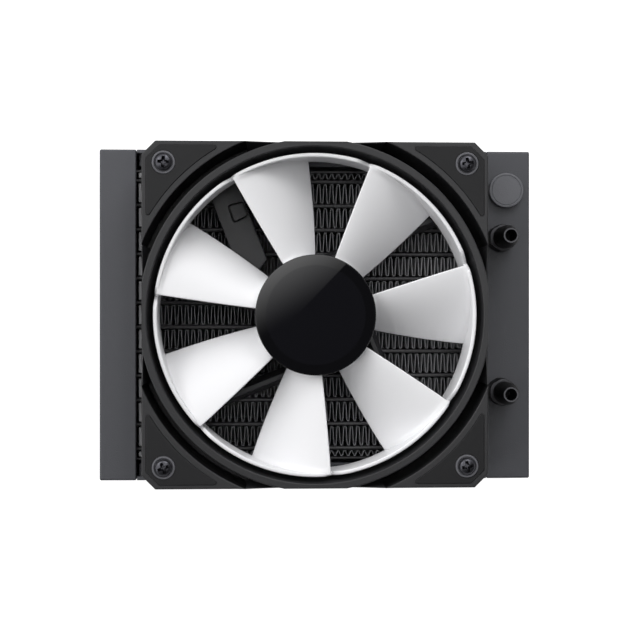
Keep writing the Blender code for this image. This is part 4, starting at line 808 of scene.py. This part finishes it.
def screw_shell(sizes, x, y, turn):
    """A pan-head screw: the head's top is a crown less a cross recess, on a polar grid.

    The crown falls with the third power of the radius and turns down at its edge. The recess is as deep
    as the lesser of two smooth steps says, one across an arm's width and one at its end, the greater of
    both arms.
    """
    low, high = (corner[2] for corner in solid("screw_top_right"))
    seat = solid("washer_top_right")[0][2] + HEAD_SEAT
    flat, length = 0.8, sizes.cross_length / 2
    share = np.concatenate([np.linspace(0.0, flat, 30), np.linspace(flat + 0.02, 1.0, 10)])
    angle = ring_of(144)
    radius = share * sizes.head
    edge = np.sqrt(np.clip(1 - np.clip((share - flat) / (1 - flat), 0, 1) ** 2, 0, 1)) - 1
    dome = high - sizes.crown * share**3 + edge * HEAD_EDGE
    arms = []
    for quarter in (0.0, QUARTER):
        along = np.abs(radius * np.cos(angle[:, None] + quarter))
        across = np.abs(radius * np.sin(angle[:, None] + quarter))
        taper = sizes.cross_width / 2 * (1.15 - 0.35 * along / length)
        wide = np.clip((taper - across) / (0.35 * MM) + 0.25, 0, 1)
        arms.append(np.minimum(wide, np.clip((length - along) / (1.1 * MM), 0, 1) ** 0.5))
    height = dome - sizes.cross_depth * np.maximum(*arms)
    top = np.stack([np.broadcast_to(radius, height.shape), height], axis=-1)
    below = np.array([(sizes.head, seat), (sizes.shank, seat), (sizes.shank, low), (0.0, low)])
    section = np.concatenate([top, np.tile(below, (len(angle), 1, 1))], axis=1)
    return carried(section, angle + turn, x, y, closed=False)


# The first blade's leading edge: its angle at the ring, how much further on it is at the hub, and how far
# its ends lie below the frame's front
LEAD_ANGLE = math.radians(121.2)
LEAD_TURN = math.radians(1.1)
ROOT_DROP = 5.1 * MM
TIP_DROP = 2.2 * MM
# Turn from a blade's leading to its trailing edge, at the ring and hub, and the bend of its middle line
TIP_SWEEP = math.radians(29.0)
ROOT_SWEEP = math.radians(33.5)
CAMBER = 0.6
# Rows of points along a blade, points round each, how far it runs into the hub, and its edges' bluntness
BLADE_ROWS, BLADE_POINTS = 45, 72
INTO_HUB = 0.8 * MM
BLUNTNESS = 6
# Share of a blade's thickness that is left at its two edges, and how far along its chord it is thickest
THIN_SHARE, THICK_AT = 0.45, 0.4
# The ring's notches: angle of the first, and how far round each rises and falls; the ring's rear edge
# above the frame's rear
NOTCH_ANGLE = math.radians(121.8)
NOTCH_RISE = math.radians(3.5)
NOTCH_FALL = math.radians(5.0)
RING_REAR = 7.5 * MM


def ring_shell(sizes):
    """The ring: a rectangle with round corners, carried round the axis, whose front edge dips at each blade.
    Behind a notch it rises with the square of the share left, and it falls to the next with the power 1.7."""
    pitch = 2 * math.pi / sizes.blades
    rise, fall = np.linspace(0.0, 1.0, 9), np.linspace(0.0, 1.0, 11)[:-1]
    flat = np.linspace(NOTCH_RISE, pitch - NOTCH_FALL, 26)[1:-1]
    along = np.concatenate([rise * NOTCH_RISE, flat, pitch - NOTCH_FALL + fall * NOTCH_FALL])
    dip = np.concatenate([(1 - rise) ** 2, np.zeros_like(flat), fall**1.7])
    angle = (NOTCH_ANGLE - np.arange(sizes.blades)[:, None] * pitch - along).ravel()
    top = solid("impeller")[1][2] - sizes.notch * np.tile(dip, sizes.blades)
    inner, outer = sizes.ring - sizes.ring_wall, sizes.ring
    rear = np.full_like(top, FAN_REAR + RING_REAR)
    sides = ((inner, rear), (inner, top), (outer, top), (outer, rear))
    corners = [np.stack([np.full_like(top, radius), height], -1) for radius, height in sides]
    return carried(rounded(np.stack(corners, axis=1), sizes.ring_edge), angle)


def blade_shell(sizes, index):
    """A twisted, cambered blade: a closed section at each radius, between the hub's wall and the ring's.

    Along the section a parameter goes once round; half of one minus its cosine is the share of the
    chord. The middle line turns back by the sweep times that share and falls by the depth times the
    share less a cambering term. Half the thickness, fullest at two fifths of the chord and grown by a
    fillet near the hub and ring, goes to either side of it, at right angles to the slope.
    """
    inner, outer = sizes.hub, sizes.ring - sizes.ring_wall
    start, end = inner - INTO_HUB, sizes.ring - sizes.ring_wall * 0.5
    even = np.linspace(0.0, 1.0, BLADE_ROWS)
    share = 0.55 * (0.5 - 0.5 * np.cos(math.pi * even)) + 0.45 * even
    radius = (start + (end - start) * share)[:, None]
    way = ring_of(BLADE_POINTS)
    chord = 0.5 - 0.5 * np.cos(way)
    side = np.tanh(BLUNTNESS * np.sin(way)) / math.tanh(BLUNTNESS)
    span = (radius - inner) / (sizes.ring - inner)
    sweep = ROOT_SWEEP + (TIP_SWEEP - ROOT_SWEEP) * span
    depth = sizes.root_depth + (sizes.tip_depth - sizes.root_depth) * span
    height = FAN_FRONT - ROOT_DROP + (ROOT_DROP - TIP_DROP) * span
    fall = chord - CAMBER * chord * (1 - chord)
    run, drop = radius * sweep, depth * (1 - CAMBER * (1 - 2 * chord))
    length = np.hypot(run, drop)
    bulge = chord * (1 - chord) ** 1.5 / (THICK_AT * (1 - THICK_AT) ** 1.5)
    near = sum(np.exp(-((away / sizes.fillet) ** 2)) for away in (outer - radius, radius - inner))
    near = np.where((radius > outer) | (radius < inner), 1.0, near)
    half = sizes.blade / 2 * (THIN_SHARE + (1 - THIN_SHARE) * bulge)
    half = side * (half + 0.7 * sizes.fillet * near * np.minimum(1.0, 8 * chord * (1 - chord)))
    lead = LEAD_ANGLE + LEAD_TURN * (1 - span) + index * 2 * math.pi / sizes.blades
    angle = lead - sweep * chord - half * drop / length / radius
    z = height - depth * fall + half * run / length
    return sleeve(np.stack([FAN_X + radius * np.cos(angle), radius * np.sin(angle), z], axis=-1))


def hub_shell(sizes):
    """The hub cup with the boss that holds the shaft, carried round the axis."""
    top = solid("hub_cap")[0][2] - 0.3 * MM
    hub, cup = sizes.hub, sizes.hub - sizes.hub_wall
    under, boss, rear = top - sizes.hub_wall, top - 5.5 * MM, top - sizes.hub_depth
    outer, bore, end = 3.5 * MM, 1.8 * MM, under + 0.3 * MM
    corners = [(0.0, top), (hub, top), (hub, rear), (cup, rear), (cup, under), (outer, under)]
    corners += [(outer, boss), (bore, boss), (bore, end), (0.0, end)]
    return turned(corners, 0.4, columns=144)


def hub_cap_shell(sizes):
    """The polished cap: a flat face, a rim that falls by a hair and a sharp shoulder, hollow below."""
    low, high = solid("hub_cap")
    radius, foot, top = (high[0] - low[0]) / 2, low[2], high[2]
    rim, wall = top - sizes.cap_slope, 1.2 * MM
    inner, under = radius - wall, rim - wall
    corners = [(0.0, top), (sizes.cap_face, top), (radius - 0.15 * MM, rim), (radius, rim - 0.2 * MM)]
    corners += [(radius, foot), (inner, foot), (inner, under), (0.0, under)]
    return turned(corners, [0, 0.5, 0.15, 0.15, 0.1, 0.1, 0.3, 0], columns=192)


# Operators
class CoolerOperator:
    """What the operators share: each builds its pieces in the scene, and an error stops it."""

    bl_options = {"REGISTER", "UNDO"}

    def execute(self, context):
        self.build(context.scene)
        return {"FINISHED"}


class COOLER_OT_tanks(CoolerOperator, bpy.types.Operator):
    """Build the two end tanks"""

    bl_idname = "cooler.tanks"
    bl_label = "Tanks"

    def build(self, scene):
        for side, outward in (("left", -1), ("right", 1)):
            node = f"{side}_tank"
            one = tank_shell(*solid(node), outward, scene.cooler_radiator)
            mesh = mesh_of(node, [one])
            add_piece(f"{node}_shell", mesh, "powder_coated_aluminium", [node])


class COOLER_OT_channels(CoolerOperator, bpy.types.Operator):
    """Build the two side channels with their screw ears"""

    bl_idname = "cooler.channels"
    bl_label = "Side channels"

    def build(self, scene):
        sizes = scene.cooler_radiator
        for side, sign in (("top", 1), ("bottom", -1)):
            node = f"side_channel_{side}"
            low, high = solid(node)
            places = [(x, y) for _, _, x, y in corner_places(sizes) if y * sign > 0]
            holes = [upright_rod(x, y, sizes.screw_hole, -MM, high[2] + MM) for x, y in sorted(places)]
            mesh = mesh_of(node, channel_shells(low, high, sign, holes, sizes))
            add_piece(f"channel_{side}", mesh, "powder_coated_aluminium", [node])


class COOLER_OT_tubes(CoolerOperator, bpy.types.Operator):
    """Build the flat coolant tubes"""

    bl_idname = "cooler.tubes"
    bl_label = "Tubes"

    def build(self, scene):
        for node in numbered("flat_tube"):
            mesh = mesh_of(node, [tube_shell(*solid(node), scene.cooler_radiator.tube_wall)])
            add_piece(node.replace("flat_tube", "tube"), mesh, "dip_painted_aluminium", [node])


# A face whose normal's Z is less than the first stands upright, and more than the second, it lies level
STEEP, LEVEL = 0.7, 0.9


class COOLER_OT_fins(CoolerOperator, bpy.types.Operator):
    """Build the folded fin strips"""

    bl_idname = "cooler.fins"
    bl_label = "Fins"

    def build(self, scene):
        sizes = scene.cooler_radiator
        # The tabs are thicker than the sheet, so that the folds' ends stay inside them
        tab = sizes.fin_sheet * 1.5
        for seed, node in enumerate(numbered("fin_strip")):
            low, high = solid(node)
            near, far = sizes.tab_start, sizes.tab_start + sizes.end_tab
            ends = ((low[0] + near, low[0] + far), (high[0] - far, high[0] - near))
            heights = ((low[2], low[2] + tab), (high[2] - tab, high[2]))
            y, edge = (low[1] + tab, high[1] - tab), 0.3 * sizes.fin_sheet
            tabs = [slab(x, y, z, edge) for x in ends for z in heights]
            mesh = mesh_of(node, [fin_shell(low, high, sizes, seed), *tabs])
            add_piece(node.replace("fin_strip", "fins"), mesh, "painted_foil_edge", [node])
            # Painted light: upright faces, and all faces near the strips' ends, get the paler finish in place
            # of light that hardly reaches there
            wall = np.abs(polygon_values(mesh, "normal")[:, 2]) < STEEP
            x = polygon_values(mesh, "center")[:, 0]
            give_second(mesh, "pale_foil_painted_light", wall | (x < ends[0][1]) | (x > ends[1][0]))


class COOLER_OT_fittings(CoolerOperator, bpy.types.Operator):
    """Build the two hose fittings and the filler cap"""

    bl_idname = "cooler.fittings"
    bl_label = "Fittings and cap"

    def build(self, scene):
        sizes = scene.cooler_fittings
        for node in ("inlet_fitting", "outlet_fitting"):
            low, high = solid(node)
            mesh = mesh_of(node, [fitting_shell(low, high, sizes)])
            add_piece(node.replace("fitting", "barb"), mesh, "turned_black_acetal", [node])
            # Painted highlight: level upward faces outside the bore get the paler finish
            away = (polygon_values(mesh, "center") - (low + high) / 2)[:, :2]
            outside = np.linalg.norm(away, axis=1) > sizes.bore * 0.95
            level = polygon_values(mesh, "normal")[:, 2] > LEVEL
            give_second(mesh, "acetal_painted_highlight", outside & level)
        mesh = mesh_of("filler_cap", [cap_shell(*solid("fill_cap"), sizes)])
        add_piece("filler_cap", mesh, "powder_coated_cap", ["fill_cap"])


class COOLER_OT_frame(CoolerOperator, bpy.types.Operator):
    """Build the fan's frame, its struts, cable cover and motor base"""

    bl_idname = "cooler.frame"
    bl_label = "Fan frame"

    def build(self, scene):
        sizes = scene.cooler_frame
        mesh = mesh_of("fan_frame", [frame_shell(sizes)])
        floor = FAN_FRONT - sizes.pad_seat
        for _, turn, x, y in corner_places(scene.cooler_radiator):
            seat = lofted(pad_outline(sizes, sizes.seat_gap), [(0, floor), (0, FAN_FRONT + MM)])
            mesh = cut_from(mesh, [into_fan(seat, turn)])
            hole = upright_rod(x, y, sizes.screw_hole, FAN_REAR - MM, FAN_FRONT - sizes.pad_seat / 2)
            mesh = cut_from(mesh, [hole])
        pieces = {"frame_body": mesh}
        pieces |= {f"strut_{i + 1}": mesh_of("strut", [strut_shell(sizes, i)]) for i in range(4)}
        pieces["cable_cover"] = cover_mesh(sizes)
        pieces["motor_base"] = mesh_of("motor_base", [base_shell(sizes)])
        for name, mesh in pieces.items():
            add_piece(name, mesh, "moulded_glass_filled_nylon", ["fan_frame"])


# Turns of the screws' crosses, in degrees, in the order of the corners
SCREW_TURNS = (8.0, -4.0, 21.0, 12.0)


class COOLER_OT_fasteners(CoolerOperator, bpy.types.Operator):
    """Build the corner pads, washers and screws"""

    bl_idname = "cooler.fasteners"
    bl_label = "Pads and screws"

    def build(self, scene):
        sizes, fasteners = scene.cooler_frame, scene.cooler_fasteners
        outline = pad_outline(sizes, 0.0)
        places = corner_places(scene.cooler_radiator)
        for (name, turn, x, y), screw_turn in zip(places, np.radians(SCREW_TURNS)):
            low, high = (corner[2] for corner in solid(f"corner_pad_{name}"))
            pad = into_fan(lofted(outline, slab_profile(low, high, 0.2 * MM)), turn)
            hole = upright_rod(x, y, fasteners.washer + 0.1 * MM, low - MM, high + MM, 72)
            mesh = cut_from(mesh_of("pad", [pad]), [hole])
            add_piece(f"pad_{name}", mesh, "moulded_rubber", [f"corner_pad_{name}"])
            mesh = mesh_of("washer", [washer_shell(fasteners, x, y)])
            add_piece(f"cup_washer_{name}", mesh, "phosphated_steel", [f"washer_{name}"])
            mesh = mesh_of("screw", [screw_shell(fasteners, x, y, screw_turn)])
            add_piece(f"pan_head_screw_{name}", mesh, "black_zinc_steel", [f"screw_{name}"])


class COOLER_OT_impeller(CoolerOperator, bpy.types.Operator):
    """Build the impeller: blades, ring and hub"""

    bl_idname = "cooler.impeller"
    bl_label = "Impeller"

    def build(self, scene):
        sizes = scene.cooler_impeller
        parts = [ring_shell(sizes), hub_shell(sizes)]
        parts += [blade_shell(sizes, index) for index in range(sizes.blades)]
        mesh = mesh_of("impeller", parts)
        add_piece("impeller_moulding", mesh, "moulded_white_polyester", ["impeller"], ROTOR, 40.0)


class COOLER_OT_hub_cap(CoolerOperator, bpy.types.Operator):
    """Build the polished cap on the hub"""

    bl_idname = "cooler.hub_cap"
    bl_label = "Hub cap"

    def build(self, scene):
        sizes = scene.cooler_impeller
        mesh = mesh_of("hub_cap", [hub_cap_shell(sizes)])
        add_piece("polished_cap", mesh, "polished_black_polycarbonate", ["hub_cap"], ROTOR)
        x, y, z = polygon_values(mesh, "center").T
        top = solid("hub_cap")[1][2] - 0.1 * MM
        face = (np.hypot(x - FAN_X, y) < sizes.cap_face) & (z > top)
        give_second(mesh, "backed_black_polycarbonate", face)


# Solids that are shown as they are, by their finish
KEPT_SOLIDS = {
    "dip_painted_aluminium": (
        "tank_divider",
        "left_header_plate",
        "right_header_plate",
        "core_side_plate_top",
        "core_side_plate_bottom",
    ),
    "laminated_steel": ("stator_core", "rotor_yoke", "shaft", "retaining_clip"),
    "wound_copper_wire": ("stator_winding",),
    "solder_masked_board": ("circuit_board",),
    "sintered_bronze": ("bearing_sleeve",),
    "bonded_ferrite": ("magnet_ring",),
}


class COOLER_OT_inner_parts(CoolerOperator, bpy.types.Operator):
    """Give the plates and motor parts that keep their solids a finish"""

    bl_idname = "cooler.inner_parts"
    bl_label = "Plates and motor"

    def build(self, scene):
        for finish, nodes in KEPT_SOLIDS.items():
            for node in nodes:
                mesh = frame["nodes"][node].data
                mesh.materials.clear()
                mesh.materials.append(material(finish))


class COOLER_OT_stage(CoolerOperator, bpy.types.Operator):
    """Set the floor, lamps and camera"""

    bl_idname = "cooler.stage"
    bl_label = "Stage"

    def build(self, scene):
        scene.view_settings.view_transform = "Standard"
        add_floor(scene)
        add_world(scene)
        for lamp in LAMPS:
            add_lamp(scene, *lamp)
        add_camera(scene)


# Floor: half its width, its depth below the object, the strength of its glow, and the distances from the
# object's sides over which the glow fades in for the eye and for a gloss; the missing glow under and near the
# object is painted shade
FLOOR_REACH = 3.0
FLOOR_DEPTH = 0.3 * MM
FLOOR_GLOW = 0.9
GLOW_STEPS = ((-2.0 * MM, 0.0), (40.0 * MM, 220.0 * MM))
WHITE = (1.0, 1.0, 1.0, 1.0)


def add_floor(scene):
    """A pale floor. Beside the object the camera sees it nearly white, with the object's shadow.

    What a gloss sees of it grows white with the distance from the object: the darker floor near the object in
    a gloss is painted shade, and under the object the glow stops, a painted shadow.
    """
    r, z = FLOOR_REACH, -FLOOR_DEPTH
    mesh = bpy.data.meshes.new("floor")
    mesh.from_pydata([(-r, -r, z), (r, -r, z), (r, r, z), (-r, r, z)], [], [(0, 1, 2, 3)])
    floor = bpy.data.objects.new("floor", mesh)
    scene.collection.objects.link(floor)
    made = bpy.data.materials.new("pale_floor")
    made.use_nodes = True
    tree = made.node_tree
    tree.nodes.clear()
    place = add_node(tree, "TexCoord", out="Object")
    parts = [add_node(tree, "SeparateXYZ", {"Vector": place}, axis) for axis in "XY"]
    away = [add_math(tree, "ABSOLUTE", part) for part in parts]
    shares = []
    for start, end in GLOW_STEPS:
        steps = [
            add_node(tree, "MapRange", {"From Min": half + start, "From Max": half + end, "Value": one})
            for one, half in zip(away, cad_box[1])
        ]
        shares.append(add_math(tree, "MAXIMUM", *steps))
    direct = add_node(tree, "LightPath", out="Is Camera Ray")
    # Painted shade: no glow under the object's footprint, and in a gloss the glow only grows in away from the
    # object
    shown = add_math(tree, "MULTIPLY", shares[0], add_math(tree, "MAXIMUM", direct, shares[1]))
    seen = add_math(tree, "MULTIPLY", add_math(tree, "MULTIPLY", seen_rays(tree), shown), FLOOR_GLOW)
    glow = add_node(tree, "Emission", {"Color": WHITE, "Strength": seen})
    dull = add_node(tree, "BsdfDiffuse", {"Color": (0.5, 0.5, 0.5, 1)})
    add_node(tree, "OutputMaterial", {"Surface": add_node(tree, "AddShader", {0: glow, 1: dull})})
    mesh.materials.append(made)


# The soft box ends sharply where the first direction's share of the view falls below zero, and inside it
# the light rises with the second direction's share over the first span, then falls to a lower share of
# itself over the other; below the horizon's share of the zenith the room is white
BOX_EDGE = (-0.723, 0.691, 0.026)
BOX_RISE = (-0.51, 0.86, 0.0)
BOX_SPAN = (-0.022, 0.042)
FADE_SPAN = (0.05, 0.2)
FADE_SHARE = 0.36
BOX_LEVEL = 2.8
SKY_LEVEL = 0.05
HORIZON = 0.15


def add_world(scene):
    """A large soft box fills the sky on one side; near the horizon the eye and a gloss see a white room."""
    world = bpy.data.worlds.new("studio")
    scene.world = world
    world.use_nodes = True
    tree = world.node_tree
    tree.nodes.clear()
    place = add_node(tree, "TexCoord", out="Generated")
    across, along = [
        add_node(tree, "VectorMath", {0: place, 1: way}, "Value", operation="DOT_PRODUCT")
        for way in (BOX_EDGE, BOX_RISE)
    ]
    inside = add_math(tree, "GREATER_THAN", across, 0.0)
    span = {"Value": along, "From Min": BOX_SPAN[0], "From Max": BOX_SPAN[1], "To Max": BOX_LEVEL}
    rise = add_node(tree, "MapRange", span, interpolation_type="SMOOTHSTEP")
    span = {"Value": along, "From Min": FADE_SPAN[0], "From Max": FADE_SPAN[1]}
    fade = add_node(tree, "MapRange", {**span, "To Min": 1.0, "To Max": FADE_SHARE})
    lit = add_math(tree, "MULTIPLY_ADD", add_math(tree, "MULTIPLY", rise, fade), inside, SKY_LEVEL)
    low = add_math(tree, "LESS_THAN", add_node(tree, "SeparateXYZ", {"Vector": place}, "Z"), HORIZON)
    seen = add_math(tree, "MULTIPLY", low, seen_rays(tree))
    level = add_node(tree, "Mix", {0: seen, 2: lit, 3: 1.0}, data_type="FLOAT")
    light = add_node(tree, "Background", {"Color": WHITE, "Strength": level})
    add_node(tree, "OutputWorld", {"Surface": light})


def seen_rays(tree):
    """1 for what the eye sees, straight on, in a gloss or through glass; 0 for light that falls on things."""
    eye, gloss, glass = [
        add_node(tree, "LightPath", out=f"Is {kind} Ray") for kind in ("Camera", "Glossy", "Transmission")
    ]
    return add_math(tree, "MAXIMUM", add_math(tree, "MAXIMUM", eye, gloss), glass)


# The point that all lamps aim at
LAMP_TARGET = np.array([0.0, 0.0, 0.05])
# Lamps: name, place, width, height and power
LAMPS = (
    ("key_lamp", (-0.4, 0.25, 0.45), 0.3, 0.3, 0.8),
    ("top_lamp", (0.2, 0.5, 0.4), 0.3, 0.3, 1.1),
    ("fill_lamp", (0.15, 0.0, 0.6), 0.3, 0.1, 0.25),
)


def add_lamp(scene, name, place, width, height, power):
    data = bpy.data.lights.new(name, "AREA")
    data.shape = "RECTANGLE"
    data.size, data.size_y, data.energy = width, height, power
    lamp = bpy.data.objects.new(name, data)
    scene.collection.objects.link(lamp)
    lamp.location = place
    x, y, z = np.array(place) - LAMP_TARGET
    lamp.rotation_euler = math.acos(z / math.hypot(x, y, z)), 0.0, math.atan2(y, x) + QUARTER


# Camera, fitted to the photograph: its place, turns about X and Y in radians, and focal length in mm
CAMERA_PLACE = (-0.023757, 0.00059, 0.504985)
CAMERA_TURNS = (-0.0013, -0.0488)
CAMERA_LENS = 74.99


def add_camera(scene):
    """The camera looks straight down, turned a little towards the hose fittings."""
    data = bpy.data.cameras.new("camera")
    data.sensor_width, data.lens = 36.0, CAMERA_LENS
    data.clip_start, data.clip_end = 0.01, 20.0
    camera = bpy.data.objects.new("camera", data)
    scene.collection.objects.link(camera)
    about_x, about_y = [Matrix.Rotation(turn, 4, axis) for turn, axis in zip(CAMERA_TURNS, "XY")]
    camera.matrix_world = Matrix.Translation(CAMERA_PLACE) @ about_y @ about_x
    scene.camera = camera


class COOLER_PT_panel(bpy.types.Panel):
    """Lists the pieces and their sizes"""

    bl_idname = "COOLER_PT_panel"
    bl_label = "Liquid cooler radiator"
    bl_space_type = "VIEW_3D"
    bl_region_type = "UI"
    bl_category = "Cooler"

    def draw(self, context):
        for operator in OPERATORS:
            self.layout.operator(operator.bl_idname)
        for name, (group, label) in GROUPS.items():
            box = self.layout.box()
            box.label(text=label)
            settings = getattr(context.scene, name)
            for key in group.__annotations__:
                box.prop(settings, key)


GROUPS = {
    "cooler_colours": (CoolerColours, "Colours"),
    "cooler_radiator": (RadiatorSizes, "Radiator"),
    "cooler_fittings": (FittingSizes, "Fittings"),
    "cooler_frame": (FrameSizes, "Fan frame"),
    "cooler_fasteners": (FastenerSizes, "Fasteners"),
    "cooler_impeller": (ImpellerSizes, "Impeller"),
}
OPERATORS = (
    COOLER_OT_tanks,
    COOLER_OT_channels,
    COOLER_OT_tubes,
    COOLER_OT_fins,
    COOLER_OT_fittings,
    COOLER_OT_frame,
    COOLER_OT_fasteners,
    COOLER_OT_impeller,
    COOLER_OT_hub_cap,
    COOLER_OT_inner_parts,
    COOLER_OT_stage,
)


def register():
    for name, (group, _) in GROUPS.items():
        bpy.utils.register_class(group)
        setattr(bpy.types.Scene, name, PointerProperty(type=group))
    for one in (*OPERATORS, COOLER_PT_panel):
        bpy.utils.register_class(one)


def unregister():
    for one in reversed((*OPERATORS, COOLER_PT_panel)):
        bpy.utils.unregister_class(one)
    for name, (group, _) in GROUPS.items():
        delattr(bpy.types.Scene, name)
        bpy.utils.unregister_class(group)


def main():
    register()
    for operator in OPERATORS:
        getattr(bpy.ops.cooler, operator.bl_idname.split(".")[1])()


if __name__ == "__main__":
    main()
